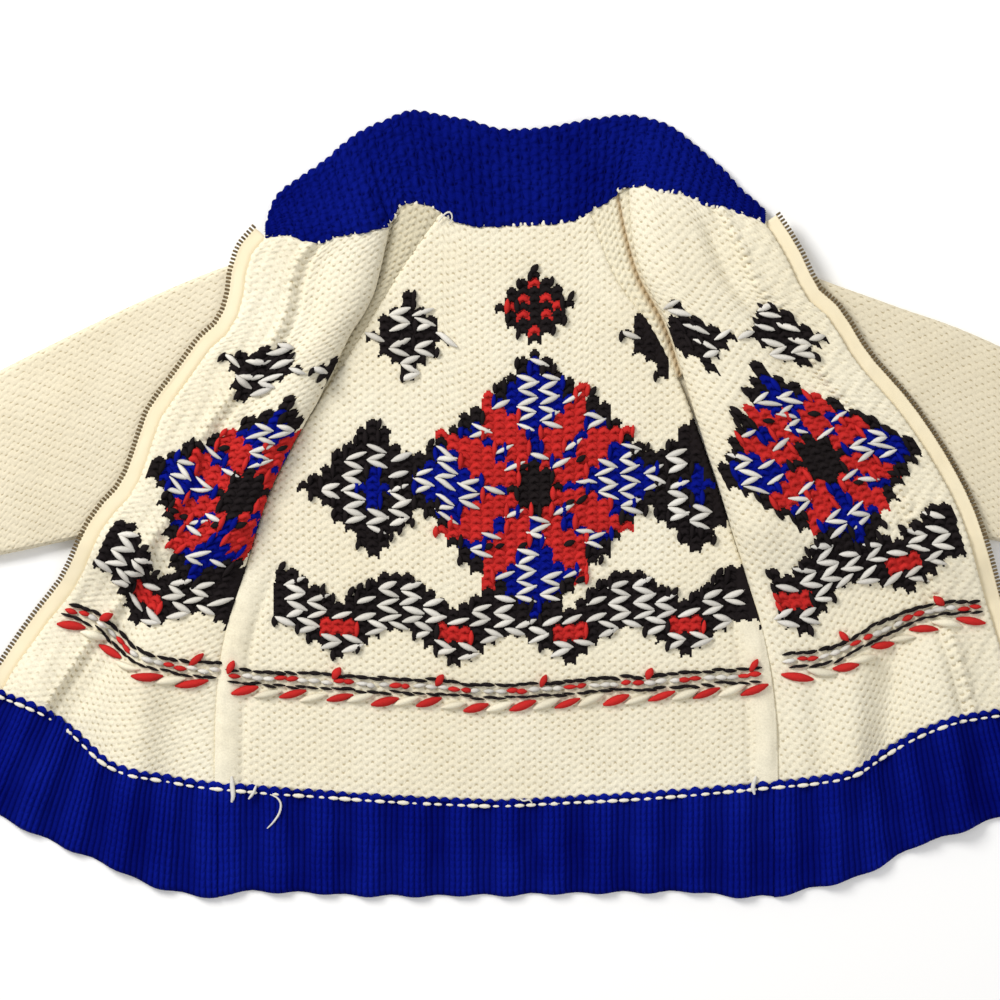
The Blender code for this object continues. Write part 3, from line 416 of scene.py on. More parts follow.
def addNode(tree, kind, inputs=None, **settings):  # each input is linked to a socket or set to a value
    node = tree.nodes.new(kind)
    for key, value in settings.items():
        setattr(node, key, value)
    for key, value in (inputs or {}).items():
        if isinstance(value, bpy.types.NodeSocket):
            tree.links.new(value, node.inputs[key])
        else:
            node.inputs[key].default_value = value
    return node


def mathNode(tree, operation, *values, clamp=False):
    inputs = dict(enumerate(values))
    return addNode(tree, "ShaderNodeMath", inputs, operation=operation, use_clamp=clamp).outputs[0]


def newTree(name, kind, inputs, outputs):
    tree = bpy.data.node_groups.new(name, kind)
    for label, socketKind, value in inputs:
        socket = tree.interface.new_socket(label, in_out="INPUT", socket_type=socketKind)
        if value is not None:
            socket.default_value = value
    for label, socketKind in outputs:
        tree.interface.new_socket(label, in_out="OUTPUT", socket_type=socketKind)
    start, end = tree.nodes.new("NodeGroupInput").outputs, tree.nodes.new("NodeGroupOutput").inputs
    return tree, start, end, partial(mathNode, tree)


def geometryTree(name, sockets):
    return newTree(name, "GeometryNodeTree", [("Geometry", geometryKind, None), *sockets],
                   [("Geometry", geometryKind)])


def closeTree(tree, geometry, start, end):  # the last node of each tree gives the material
    last = addNode(tree, "GeometryNodeSetMaterial", {"Geometry": geometry, "Material": start["Material"]})
    tree.links.new(last.outputs[0], end[0])
    return tree


def grow(obj, tree, **values):  # runs a tree on an object and keeps the plain mesh
    modifier = obj.modifiers.new(tree.name, "NODES")
    modifier.node_group = tree
    for item in tree.interface.items_tree:
        if item.in_out == "INPUT" and item.name in values:
            modifier[item.identifier] = values[item.name]
    depsgraph = bpy.context.evaluated_depsgraph_get()
    mesh = bpy.data.meshes.new_from_object(obj.evaluated_get(depsgraph), preserve_all_data_layers=True,
                                           depsgraph=depsgraph)
    obj.modifiers.remove(modifier)
    old, obj.data = obj.data, mesh
    mesh.name = obj.name
    if old.users == 0:
        bpy.data.meshes.remove(old)
    return obj


def knitted(obj, tree, form, relief, material):
    return grow(obj, tree, Relief=relief * mm, Shape=form[0], Yarn=form[1], Dive=form[2], Material=material)


def humpOf(do, share):  # half an ellipse: 1 in the middle, 0 from one outwards
    return do("SQRT", do("MAXIMUM", do("SUBTRACT", 1.0, do("MULTIPLY", share, share)), 0.0))


def purlHeight(do, x, y, swing, yarn, dive):
    # wavy strands, one to a row: open pits stand at their turns, and the slopes between close up
    phase = do("COSINE", do("MULTIPLY", x, math.tau))
    off = do("WRAP", do("SUBTRACT", do("SUBTRACT", y, 0.5), do("MULTIPLY", phase, swing)), 0.5, -0.5)
    hump = humpOf(do, do("DIVIDE", off, yarn))
    slope = do("SUBTRACT", 1.0, do("MULTIPLY", phase, phase))
    strand = do("MULTIPLY", hump, do("SUBTRACT", 1.0, do("MULTIPLY", slope, dive)))
    return do("MAXIMUM", strand, do("MULTIPLY", slope, 0.5))


def plainHeight(do, x, y, slope, yarn, dive):
    # two slanting strands to a stitch, with short pits between them that alternate along the columns
    across = do("ABSOLUTE", do("WRAP", x, 0.5, -0.5))
    off = do("WRAP", do("SUBTRACT", y, do("MULTIPLY", across, slope)), 0.5, -0.5)
    hump = humpOf(do, do("DIVIDE", off, yarn))
    leg = humpOf(do, do("DIVIDE", do("SUBTRACT", across, 0.25), 0.257))
    strand = do("MULTIPLY", leg, do("ADD", do("SUBTRACT", 1.0, dive), do("MULTIPLY", hump, dive)))
    turn = do("COSINE", do("MULTIPLY", do("ADD", y, across), math.tau))
    return do("MAXIMUM", strand, do("MULTIPLY_ADD", turn, -0.33, 0.33))


def reliefTree(name, heightOf):  # raises the knit's own relief on a finely divided face
    tree, start, end, do = geometryTree(name, [("Relief", floatKind, 0.001), *knitSockets, materialSocket])
    stitch = addNode(tree, "GeometryNodeInputNamedAttribute", {"Name": "stitch"}, data_type="FLOAT_VECTOR")
    wale, course, mask = addNode(tree, "ShaderNodeSeparateXYZ", {0: stitch.outputs["Attribute"]}).outputs
    height = heightOf(do, wale, course, start["Shape"], start["Yarn"], start["Dive"])
    lift = do("MULTIPLY", do("MULTIPLY", height, mask), start["Relief"])
    normal = tree.nodes.new("GeometryNodeInputNormal").outputs[0]
    offset = addNode(tree, "ShaderNodeVectorMath", {0: normal, "Scale": lift}, operation="SCALE").outputs[0]
    raised = addNode(tree, "GeometryNodeSetPosition", {"Geometry": start["Geometry"], "Offset": offset})
    # the side that lies on the table stays flat
    position = tree.nodes.new("GeometryNodeInputPosition").outputs[0]
    x, y, z = addNode(tree, "ShaderNodeSeparateXYZ", {0: position}).outputs
    above = addNode(tree, "ShaderNodeCombineXYZ", {0: x, 1: y, 2: do("MAXIMUM", z, 0.0)}).outputs[0]
    rest = addNode(tree, "GeometryNodeSetPosition", {"Geometry": raised.outputs[0], "Position": above})
    return closeTree(tree, rest.outputs[0], start, end)


def strandTree():  # round strands of yarn along edges, thin at their ends
    tree, start, end, _ = geometryTree("yarnStrands", [
        ("Radius", floatKind, 0.0011), ("Sides", "NodeSocketInt", 6), materialSocket])
    curves = addNode(tree, "GeometryNodeMeshToCurve", {0: start["Geometry"]})
    attribute = addNode(tree, "GeometryNodeInputNamedAttribute", {"Name": "width"}, data_type="FLOAT")
    width = attribute.outputs["Attribute"]
    thick = addNode(tree, "GeometryNodeSetCurveRadius", {"Curve": curves.outputs[0], "Radius": width})
    circle = addNode(tree, "GeometryNodeCurvePrimitiveCircle",
                     {"Resolution": start["Sides"], "Radius": start["Radius"]})
    tube = addNode(tree, "GeometryNodeCurveToMesh",
                   {"Curve": thick.outputs[0], "Profile Curve": circle.outputs[0], "Fill Caps": True})
    if "Scale" in tube.inputs:
        tree.links.new(width, tube.inputs["Scale"])
    smooth = addNode(tree, "GeometryNodeSetShadeSmooth", {"Geometry": tube.outputs[0]})
    return closeTree(tree, smooth.outputs[0], start, end)


def rowTree():  # the same small shape again and again along a line
    tree, start, end, do = geometryTree("rowAlongLine", [
        ("Shape", "NodeSocketObject", None), ("Spacing", floatKind, 0.0075), ("Uneven", floatKind, 0.15),
        ("Seed", "NodeSocketInt", 3), materialSocket])
    curves = addNode(tree, "GeometryNodeMeshToCurve", {0: start["Geometry"]})
    points = addNode(tree, "GeometryNodeCurveToPoints",
                     {"Curve": curves.outputs[0], "Length": start["Spacing"]}, mode="LENGTH")
    shape = addNode(tree, "GeometryNodeObjectInfo", {"Object": start["Shape"]})
    least, most = do("SUBTRACT", 1.0, start["Uneven"]), do("ADD", 1.0, start["Uneven"])
    size = addNode(tree, "FunctionNodeRandomValue", {2: least, 3: most, "Seed": start["Seed"]},
                   data_type="FLOAT")
    turn = addNode(tree, "FunctionNodeAlignRotationToVector", {"Vector": points.outputs["Tangent"]},
                   axis="X", pivot_axis="Z")
    copies = addNode(tree, "GeometryNodeInstanceOnPoints", {
        "Points": points.outputs["Points"], "Instance": shape.outputs["Geometry"],
        "Rotation": turn.outputs[0], "Scale": size.outputs[1]})
    real = addNode(tree, "GeometryNodeRealizeInstances", {0: copies.outputs[0]})
    return closeTree(tree, real.outputs[0], start, end)


def noiseNode(tree, vector, scale, detail=2.0, roughness=0.5):
    return addNode(tree, "ShaderNodeTexNoise", {
        "Vector": vector, "Scale": scale, "Detail": detail, "Roughness": roughness}).outputs[0]


def shaderGroup(name, inputs, labels, make):  # make works out a dictionary of the group's outputs
    tree, start, end, do = newTree(name, "ShaderNodeTree", inputs, [(label, floatKind) for label in labels])
    for label, socket in make(tree, start, do).items():
        tree.links.new(socket, end[label])
    return tree


def stitchGroup(name, heightOf):  # height of the knit, and painted shade for its pits, from the stitch attribute
    def make(tree, start, do):
        wale, course, mask = addNode(tree, "ShaderNodeSeparateXYZ", {0: start["Stitch"]}).outputs
        height = heightOf(do, wale, course, start["Shape"], start["Yarn"], start["Dive"])
        deep = do("SUBTRACT", 1.0, do("MULTIPLY", height, 2.2), clamp=True)
        return {"Height": do("MULTIPLY", height, mask), "Pit": do("MULTIPLY", deep, mask, clamp=True),
                "Mask": mask, "Line": do("ABSOLUTE", do("SINE", do("MULTIPLY", wale, math.tau)))}
    return shaderGroup(name, [("Stitch", "NodeSocketVector", None), *knitSockets],
                       ("Height", "Pit", "Mask", "Line"), make)


def fibreGroup():  # loose fibres and slow changes of shade
    def make(tree, start, do):
        vector, fineness = start["Vector"], start["Fineness"]
        fine = noiseNode(tree, vector, fineness, 4.0, 0.65)
        wide = noiseNode(tree, vector, do("DIVIDE", fineness, 4.0), 2.0)
        return {"Height": do("ADD", do("MULTIPLY", fine, 0.7), do("MULTIPLY", wide, 0.3)), "Fleck": fine,
                "Cloud": noiseNode(tree, vector, 14.0, 3.0, 0.55)}
    return shaderGroup("woolFibre", [("Vector", "NodeSocketVector", None), ("Fineness", floatKind, 900.0)],
                       ("Height", "Fleck", "Cloud"), make)


def mixColour(tree, factor, a, b, blend="MIX"):
    a, b = ((*tone, 1) if isinstance(tone, tuple) else tone for tone in (a, b))
    mix = addNode(tree, "ShaderNodeMix", {0: factor, 6: a, 7: b}, data_type="RGBA", blend_type=blend)
    return mix.outputs[2]


def newMaterial(name, **values):
    material = bpy.data.materials.new(name)
    material.use_nodes = True
    tree = material.node_tree
    shader = tree.nodes["Principled BSDF"]
    for label, value in values.items():
        shader.inputs[label].default_value = value
    return material, tree, shader.inputs, partial(mathNode, tree)


def addBump(tree, sockets, height, strength, distance):
    bump = addNode(tree, "ShaderNodeBump", {"Strength": strength, "Distance": distance, "Height": height})
    tree.links.new(bump.outputs[0], sockets["Normal"])


# wool

purlForm = (0.25, 0.40, 0.40)
sleeveForm = (0.25, 0.43, 0.15)
ribForm = (1.3, 0.42, 0.35)
garterForm = (0.20, 0.40, 0.75)
yarns = {
    "cream": (0.825, 0.775, 0.625), "white": (0.69, 0.675, 0.64), "black": (0.014, 0.011, 0.012),
    "red": (0.53, 0.026, 0.024), "blue": (0.0022, 0.007, 0.235),
}
carriedOver = {"tweed": "black", "flecked": "blue"}  # white yarn runs behind these two
blueDye = ((0.0012, 0.0045, 0.190), (0.0003, 0.0014, 0.095), (0.0060, 0.0170, 0.315))
collarDye = tuple(tuple(0.76 * v for v in tone) for tone in blueDye)
sleeveDye = ((0.735, 0.66, 0.49), (0.655, 0.58, 0.42), (0.785, 0.72, 0.57))
seamDye = ((0.80, 0.755, 0.63), (0.74, 0.69, 0.56), (0.84, 0.80, 0.70))
# tints of painted shade for the pits between stitches and for the furrows
creamPitShade, bluePitShade, furrowShadeTint = (0.50, 0.43, 0.30), (0.25, 0.25, 0.40), (0.30, 0.30, 0.42)


def woolMaterial(name, dye=None, knit=None, form=purlForm, pit=0.0, relief=0.0009, shine=0.05, furrow=0.0,
                 pitShadeTint=creamPitShade, lines=0.0):
    # without a dye, meaning a colour, its shade and its light, the yarn attribute gives the colour
    material, tree, sockets, do = newMaterial(name, Roughness=0.92, **{"Specular IOR Level": shine})
    place = tree.nodes.new("ShaderNodeTexCoord").outputs["Object"]
    fibre = addNode(tree, "ShaderNodeGroup", node_tree=woolFibre)
    tree.links.new(place, fibre.inputs["Vector"])
    cloud = do("MULTIPLY_ADD", fibre.outputs["Cloud"], 1.6, -0.35, clamp=True)
    if dye:
        tone = mixColour(tree, 0.6, dye[0], mixColour(tree, cloud, dye[1], dye[2]))
    else:
        yarn = addNode(tree, "ShaderNodeAttribute", attribute_name="yarn").outputs["Color"]
        shade = mixColour(tree, cloud, (0.93, 0.90, 0.84), (1.0, 1.0, 1.0))
        tone = mixColour(tree, 1.0, yarn, shade, "MULTIPLY")
    fleck = do("MULTIPLY_ADD", fibre.outputs["Fleck"], 0.5, 0.75)
    grey = addNode(tree, "ShaderNodeCombineColor", {0: fleck, 1: fleck, 2: fleck}).outputs[0]
    tone = mixColour(tree, 1.0, tone, grey, "MULTIPLY")
    height = do("MULTIPLY", fibre.outputs["Height"], 0.35)
    if knit:
        stitch = addNode(tree, "ShaderNodeAttribute", attribute_name="stitch").outputs["Vector"]
        sized = dict(zip(("Shape", "Yarn", "Dive"), form))
        stitches = addNode(tree, "ShaderNodeGroup", {"Stitch": stitch, **sized}, node_tree=knit).outputs
        # painted shade: the pits between stitches darken towards the pit tint, unevenly
        uneven = do("MULTIPLY_ADD", noiseNode(tree, place, 150.0, 1.0), 3.2, -0.85, clamp=True)
        deep = do("MULTIPLY", stitches["Pit"], do("MULTIPLY", uneven, pit), clamp=True)
        # painted shade: furrows where the stitch mask is low, and the gaps between rib legs, darken towards
        # the furrow tint
        low = do("SUBTRACT", 1.0, stitches["Mask"], clamp=True)
        legGapShade = do("SUBTRACT", 1.0, do("MULTIPLY", stitches["Line"], 1.5), clamp=True)
        for amount, tint in ((deep, pitShadeTint), (do("MULTIPLY", low, furrow, clamp=True), furrowShadeTint),
                             (do("MULTIPLY", legGapShade, lines), furrowShadeTint)):
            tone = mixColour(tree, amount, tone, mixColour(tree, 1.0, tone, tint, "MULTIPLY"))
        height = do("ADD", do("ADD", height, stitches["Height"]), do("MULTIPLY", stitches["Line"], lines))
    tree.links.new(tone, sockets["Base Color"])
    addBump(tree, sockets, height, 0.6, relief)
    return material


purlGroup = stitchGroup("purlStitch", purlHeight)
plainGroup = stitchGroup("plainStitch", plainHeight)
woolFibre = fibreGroup()
panelWool = woolMaterial("creamPurlWool", None, purlGroup, purlForm, 0.75, 0.0006)
capWool = woolMaterial("creamCapWool", None, purlGroup, purlForm, 0.8, 0.0006)
sleeveWool = woolMaterial("creamPlainWool", sleeveDye, purlGroup, sleeveForm, 0.8, 0.0004)
collarWool = woolMaterial("blueGarterWool", collarDye, purlGroup, garterForm, 1.0, shine=0.02, furrow=0.5,
                          pitShadeTint=bluePitShade)
hemWool = woolMaterial("blueRibWool", blueDye, plainGroup, ribForm, 0.5, 0.0014, 0.02, 0.75, bluePitShade, 0.8)
strandWool = woolMaterial("looseYarn")
creamYarn = woolMaterial("creamSeamYarn", seamDye, shine=0.12)
blueYarn = woolMaterial("blueSeamYarn", blueDye, shine=0.02)
purlRelief = reliefTree("purlRelief", purlHeight)
plainRelief = reliefTree("plainRelief", plainHeight)
yarnStrands = strandTree()
rowAlongLine = rowTree()
print("materials and trees ready")


# colourwork: eight-pointed stars, diamonds and peaks

Star = namedtuple("Star", "wale course size ground petals centre")
Diamond = namedtuple("Diamond", "wale course size rimYarn fill centre")
designs = {
    "back": {
        "stars": [Star(3, 39, 8.4, "flecked", "red", "black")],
        "diamonds": [Diamond(-11, 38, 6.0, "black", "tweed", "blue"),
                     Diamond(17, 38, 6.0, "black", "tweed", "blue"),
                     Diamond(-8, 57, 3.6, "tweed", "tweed", "black"),
                     Diamond(3, 62, 3.4, "black", "red", "black"),
                     Diamond(14, 57, 3.6, "tweed", "tweed", "black")],
        "peaks": (-19, 24),
    },
    "front": {
        "stars": [Star(9, 36, 6.2, "flecked", "red", "black")],
        "diamonds": [Diamond(5, 53, 3.2, "tweed", "tweed", "black"),
                     Diamond(13, 53, 3.0, "tweed", "tweed", "black")],
        "peaks": (1, 17),
    },
}
motif = {"courseShare": 0.68, "starRim": 1.45, "rimWidth": 1.2, "starCentre": 2.4, "diamondCentre": 1.6,
         "peakRepeat": 10, "peakStart": 17, "peakStep": 0.8, "peakHeight": 7}


def starShape(i, j, n):
    a, b = np.abs(i), np.abs(j * motif["courseShare"])
    upright = (a >= 0.6) & (a <= n / 2) & (b - a >= 0.5) & (b - a <= n / 2)
    level = (b >= 0.5) & (b <= n / 2) & (a - b >= 0.5) & (a - b <= n / 2)
    return upright | level


def diamondSize(i, j):
    return np.abs(i) + np.abs(j * motif["courseShare"])


def chart(design, wale, course):  # which yarn each stitch is knitted in
    i, j = np.floor(wale + 0.5), np.floor(course)
    yarn = np.full(len(i), "cream", dtype=object)
    start, end = design["peaks"]
    inside = (i >= start) & (i <= end)
    tooth = np.abs((i - start) % motif["peakRepeat"] - motif["peakRepeat"] / 2)
    band = j - motif["peakStart"] - tooth * motif["peakStep"]
    top = motif["peakHeight"]
    yarn[inside & (band >= 0) & (band < top)] = "tweed"
    yarn[inside & (band >= top - 1) & (band < top)] = "black"
    yarn[inside & (tooth <= 1) & (j >= 20) & (j <= 21)] = "red"
    for item in design["diamonds"]:
        size = diamondSize(i - item.wale, j - item.course)
        yarn[size <= item.size] = item.rimYarn
        yarn[size <= item.size - motif["rimWidth"]] = item.fill
        yarn[size <= motif["diamondCentre"]] = item.centre
    for item in design["stars"]:
        di, dj = i - item.wale, j - item.course
        size = diamondSize(di, dj)
        yarn[size <= item.size * motif["starRim"]] = "black"
        yarn[size <= item.size * motif["starRim"] - motif["rimWidth"]] = item.ground
        yarn[starShape(di, dj, item.size)] = item.petals
        yarn[size <= motif["starCentre"]] = item.centre
    return yarn


def yarnColours(design):
    def colourOf(coords):
        wale, course = coords[:, 0], coords[:, 1]
        names = chart(design, wale, course - 0.25 * np.cos(math.tau * wale))
        for carried, ground in carriedOver.items():
            names[names == carried] = ground
        colours = np.ones((len(names), 4))
        for name, value in yarns.items():
            colours[names == name, :3] = value
        return colours
    return colourOf


# knitted panels

panel = {"perWale": 5, "perCourse": 6, "relief": 0.6, "sunk": 0.45, "seamDip": 1.5, "dipWidth": 2.4,
         "lap": 2.2, "backCourses": 73, "frontCourses": 72, "underStep": (6, 5), "backReach": (-186, 181),
         "ridge": {"at": 8, "width": 7.0, "height": 3.0, "groove": 1.3, "grooveAt": 18, "grooveWidth": 2.6},
         "lump": {"at": 3, "width": 3.2, "height": 2.0, "spacing": 8.4},
         "bandGroove": {"at": 3.6, "width": 3.0, "depth": 1.9}, "troughAt": 46, "troughWidth": 8.0,
         "besideBand": {"left": (2.4, 400), "right": (3.9, 180)}}
wale, course = cloth["wale"], cloth["course"]


def seamDip(distance):
    return panel["seamDip"] * np.clip(1 - distance / panel["dipWidth"], 0, 1) ** 2


def makeBack():
    courses = panel["backCourses"]
    rows = courses * panel["perCourse"] + 1
    t = np.linspace(0, 1, rows)[:, None]
    neck, hem = smoothLine(backNeck, 60), smoothLine(backHem, 60)
    edges = {side: smoothLine(sides[side]["backEdge"], 200)[::-1] for side in sides}
    for side, line in edges.items():
        line[:, 0] += sides[side]["out"] * panel["lap"] * ease((-30 - line[:, 1]) / 60)

    def level(x):
        return (1 - t) * np.interp(x, neck[:, 0], neck[:, 1]) + t * np.interp(x, hem[:, 0], hem[:, 1])

    limits = {}
    for side in sides:
        x = np.full((rows, 1), float(sides[side]["backEdge"][-1][0]))
        for _ in range(12):
            x = np.interp(level(x), edges[side][:, 1], edges[side][:, 0])
        limits[side] = x
    step = wale / panel["perWale"]
    start, end = panel["backReach"]
    columns = np.arange(math.floor(start / step), math.ceil(end / step) + 1) * step
    x = np.clip(columns[None, :], limits["left"], limits["right"])
    y = level(x)
    first = np.array([np.max(np.nonzero(columns <= v + 1e-6)[0]) for v in limits["left"][:, 0]])
    last = np.array([np.min(np.nonzero(columns >= v - 1e-6)[0]) for v in limits["right"][:, 0]])
    fromSide = np.minimum(x - limits["left"], limits["right"] - x)
    fromEnd = np.minimum(t, 1 - t) * courses * course
    lower = ease((-20 - y) / 60)
    form = panel["ridge"]
    ridge = bell(np.maximum(fromSide - form["at"], 0), form["width"]) * lower
    ridge = ridge * (1 - 0.4 * ease((-165 - y) / 20))
    z = cloth["wall"] - panel["sunk"] + 0.5 * np.sin(x / 47) * np.sin(y / 61)
    z = z + (form["height"] + 0.8 * waves(x, y, 6, 26)) * ridge * (0.5 + 0.5 * ease(fromSide / 5))
    z = z - form["groove"] * lower * bell(fromSide - form["grooveAt"], form["grooveWidth"])
    z = z + 0.35 * waves(x, y, 5, 60) - seamDip(fromEnd) - (1 - 0.9 * lower) * seamDip(fromSide)
    smooth = 1 - 0.9 * np.clip(ridge * 1.4, 0, 1)
    stitch = np.dstack([x / wale + 0.10 * waves(x, y, 11, 45), (1 - t) * courses + 0.12 * waves(x, y, 12, 50),
                        smooth])
    top = np.dstack([x, y, z])
    low = np.dstack([x, y, np.zeros_like(z)])
    ends = (first, last)
    obj = shellPiece("back_panel", top, low, stitch, panel["underStep"], ends, yarnColours(designs["back"]))
    return knitted(obj, purlRelief, purlForm, panel["relief"], panelWool), top, ends


def makeFront(side):
    courses, bandWidth, bandStep = panel["frontCourses"], cloth["bandWidth"], cloth["bandStep"]
    rows = courses * panel["perCourse"] + 1
    down = np.linspace(0, 1, rows)
    middle = frontMiddle(side, down)
    normals = normalsOf(middle)
    step = wale / panel["perWale"]
    reached = np.array([lengths(line) for line in middle[:, ::-1]])
    total = reached[:, -1]
    columns = np.arange(0, math.ceil(total.max() / step) + 1) * step
    grid = np.array([readOff(columns, reached[r], middle[r, ::-1]) for r in range(rows)])
    normal = np.array([readOff(columns, reached[r], normals[r, ::-1]) for r in range(rows)])
    normal /= np.linalg.norm(normal, axis=2)[..., None]
    ends = np.zeros(rows, int), np.array([np.min(np.nonzero(columns >= v - 1e-6)[0]) for v in total])
    fromZip = np.minimum(columns[None, :], total[:, None])
    fromCrease = total[:, None] - fromZip
    x, y = grid[..., 0], grid[..., 1]
    fromNeck, fromHem = down[:, None] * courses * course, (1 - down[:, None]) * courses * course
    band = cloth["bandRaise"] * ease((bandWidth - fromZip) / bandStep) * (
        1 - 0.4 * ease((bandStep - fromZip) / bandStep))
    lump, groove = panel["lump"], panel["bandGroove"]
    beads = 0.5 + 0.5 * np.sin(fromNeck / lump["spacing"] * math.tau + 4.0 * waves(x, y, 3, 40))
    lumps = lump["height"] * bell(fromZip - bandWidth + lump["at"], lump["width"]) * beads
    lumps = lumps + 0.6 * waves(x, y, 33, 11) * ease((bandWidth - fromZip) / 5)
    deep, end = panel["besideBand"][side]
    trough = groove["depth"] * bell(fromZip - bandWidth - groove["at"], groove["width"])
    beside = deep * bell(fromZip - panel["troughAt"], panel["troughWidth"])
    trough = trough + beside * ease(fromNeck / 25) * ease((end - fromNeck) / 60)
    raised = lying - panel["sunk"] + band + lumps - trough + 0.5 * waves(x, y, 21 + len(side), 55)
    raised = raised - seamDip(np.minimum(fromNeck, fromHem)) - 0.3 * seamDip(fromZip)
    smooth = (1 - 0.35 * ease((bandWidth - 4 - fromZip) / 6)) * ease(fromCrease / 3)
    smooth = smooth + 0.9 * bell(fromZip - bandWidth + 1, 3.0)  # open stitches on the band's line, with deeper relief and darker painted pit shade
    top = grid + normal * raised[..., None]
    low = grid - normal * lying
    low[..., 2] = np.maximum(low[..., 2], 0)
    stitch = np.dstack([fromZip / wale + 0.10 * waves(x, y, 31, 45),
                        (1 - down[:, None]) * courses + 0.12 * waves(x, y, 32, 50), smooth])
    obj = shellPiece("front_panel_" + side, top, low, stitch, panel["underStep"], ends,
                     yarnColours(designs["front"]))
    return knitted(obj, purlRelief, purlForm, panel["relief"], panelWool), top, ends


backPanel, backTop, backEnds = makeBack()
print("back panel:", len(backPanel.data.polygons), "faces")
fronts = {side: makeFront(side) for side in sides}
print("front panels:", [len(f[0].data.polygons) for f in fronts.values()])


# sleeves: rings of 26 points, whose upper side runs from the 10th to the 25th

sleeveShape = {"along": 1.25, "across": 161, "relief": 0.32, "foldTurns": (-60, -20, 20, 60), "flatPoints": 9,
               "uneven": 0.6, "unevenFrom": 120}
ringShape = {"points": 26, "upper": (10, 25), "outerSteps": 3, "lowerSteps": 14}


def ringSpots(upperCount):  # places round a ring: fine over the upper side, coarse on the table
    start, end = ringShape["upper"]
    around = np.linspace(end, ringShape["points"], ringShape["outerSteps"])[1:]
    under = np.linspace(0, start, ringShape["lowerSteps"])[1:-1]
    return np.concatenate([np.linspace(start, end, upperCount), around, under])


def ringLine(ring, spots):
    return readOff(spots, np.arange(ringShape["points"] + 1), np.vstack([ring, ring[:1]]))


def flatRing(section):
    top, low, height = np.array(section[:2]), np.array(section[2:4]), section[4]
    width = np.linalg.norm(low - top)
    way = (low - top) / width
    turns = np.radians(sleeveShape["foldTurns"])
    count = sleeveShape["flatPoints"]
    flat = np.linspace(height / 2, width - height / 2, count)
    bump = section[5] * np.sin(math.pi * (flat - flat[0]) / (flat[-1] - flat[0]))
    outward, climb = height / 2 * np.cos(turns), height / 2 * np.sin(turns)
    run = np.concatenate([flat, width - height / 2 + outward, flat[::-1], height / 2 - outward])
    high = np.concatenate([np.zeros(count), height / 2 + climb, height + bump, height / 2 - climb])
    return np.column_stack([top + way * run[:, None], high])


def armholeRing(side):
    shape = sides[side]
    out, height, count = shape["out"], shape["sections"][0].height, sleeveShape["flatPoints"]
    share = np.linspace(0, 1, count)
    raglan = smoothLine(shape["backEdge"][:6], 60)
    crease = smoothLine(shape["crease"][:-4], 60)
    low = along(movedOut(raglan, 0.2, out), share)
    low += np.array([out, -0.4]) * 9 * ease((share - 0.7) / 0.3)[:, None]
    high = along(movedOut(crease, 10, out), share * 0.97 + 0.015)[::-1]
    turns = np.radians(sleeveShape["foldTurns"])
    endWay = raglan[-1] - raglan[-8]
    endWay /= np.linalg.norm(endWay)
    mix = (1 + np.sin(turns)[:, None]) / 2
    under = low[-1] + (high[0] - low[-1]) * mix + endWay * (height / 2) * np.cos(turns)[:, None]
    parts = ((low, np.zeros(count)), (under, height / 2 + height / 2 * np.sin(turns)),
             (high, np.full(count, height)), (np.array(shape["cap"][::-1], float), [3.8, 0.3, 0, 0]))
    return np.vstack([np.column_stack(part) for part in parts])


def makeSleeve(side):
    rings = np.array([armholeRing(side)] + [flatRing(s) for s in sides[side]["sections"][:-1]])
    reached = lengths(rings.mean(axis=1)[:, :2])
    at = np.linspace(0, reached[-1], int(reached[-1] / sleeveShape["along"]) + 1)
    upperCount = sleeveShape["across"] + 1
    spots = ringSpots(upperCount)
    dense = np.array([ringLine(ring, spots) for ring in rings])
    grid = np.empty((len(at), len(spots), 3))
    for c in range(len(spots)):
        for k in range(3):
            fine = smoothLine(np.column_stack([reached, dense[:, c, k]]), 160)
            grid[:, c, k] = np.interp(at, fine[:, 0], fine[:, 1])
    x, y = grid[..., 0], grid[..., 1]
    upper = np.zeros(len(spots))
    upper[:upperCount] = 1
    upper[:8] = np.linspace(0.2, 1, 8)
    upper[upperCount - 16:upperCount] = np.linspace(1, 0.1, 16) ** 1.5
    grid[..., 2] += sleeveShape["uneven"] * waves(x, y, 41 + len(side), 80) * upper * ease(
        (at - sleeveShape["unevenFrom"])[:, None] / 40)
    grid[..., 2] = np.maximum(grid[..., 2], 0)
    across = np.array([lengths(line) for line in grid]) / course
    fromMiddle = across - across[:, upperCount // 2][:, None]
    stitch = np.dstack([(at / wale)[:, None] + 0.2 * waves(x, y, 45, 60),
                        fromMiddle + 0.12 * waves(x, y, 44, 60), np.repeat(upper[None, :], len(at), 0)])
    obj = meshPiece("sleeve_knit_" + side, grid.reshape(-1, 3), tubeFaces(len(at), len(spots)), (),
                    stitch.reshape(-1, 3))
    return knitted(obj, purlRelief, sleeveForm, sleeveShape["relief"], sleeveWool)


sleeves = {side: makeSleeve(side) for side in sides}
print("sleeves:", [len(s.data.polygons) for s in sleeves.values()])

# the left cap is given a darker tone as painted shade, and a warm painted shade line runs beside the right
# front's crease
capShape = {"rows": 130, "cols": 60, "level": 3.7, "wall": 1.2, "relief": 1.1, "underFront": 9,
            "creasePoints": {"left": 4, "right": 5}, "dip": 2.0, "dipAt": 10, "dipWidth": 2.6,
            "tone": {"left": (0.63, 0.58, 0.435), "right": (0.77, 0.72, 0.565)}, "creaseShade": (0.46, 0.33, 0.18),
            "creaseShadeWeight": {"left": 0.0, "right": 0.85}, "creaseShadeAt": 11.5, "creaseShadeWidth": 2.4}


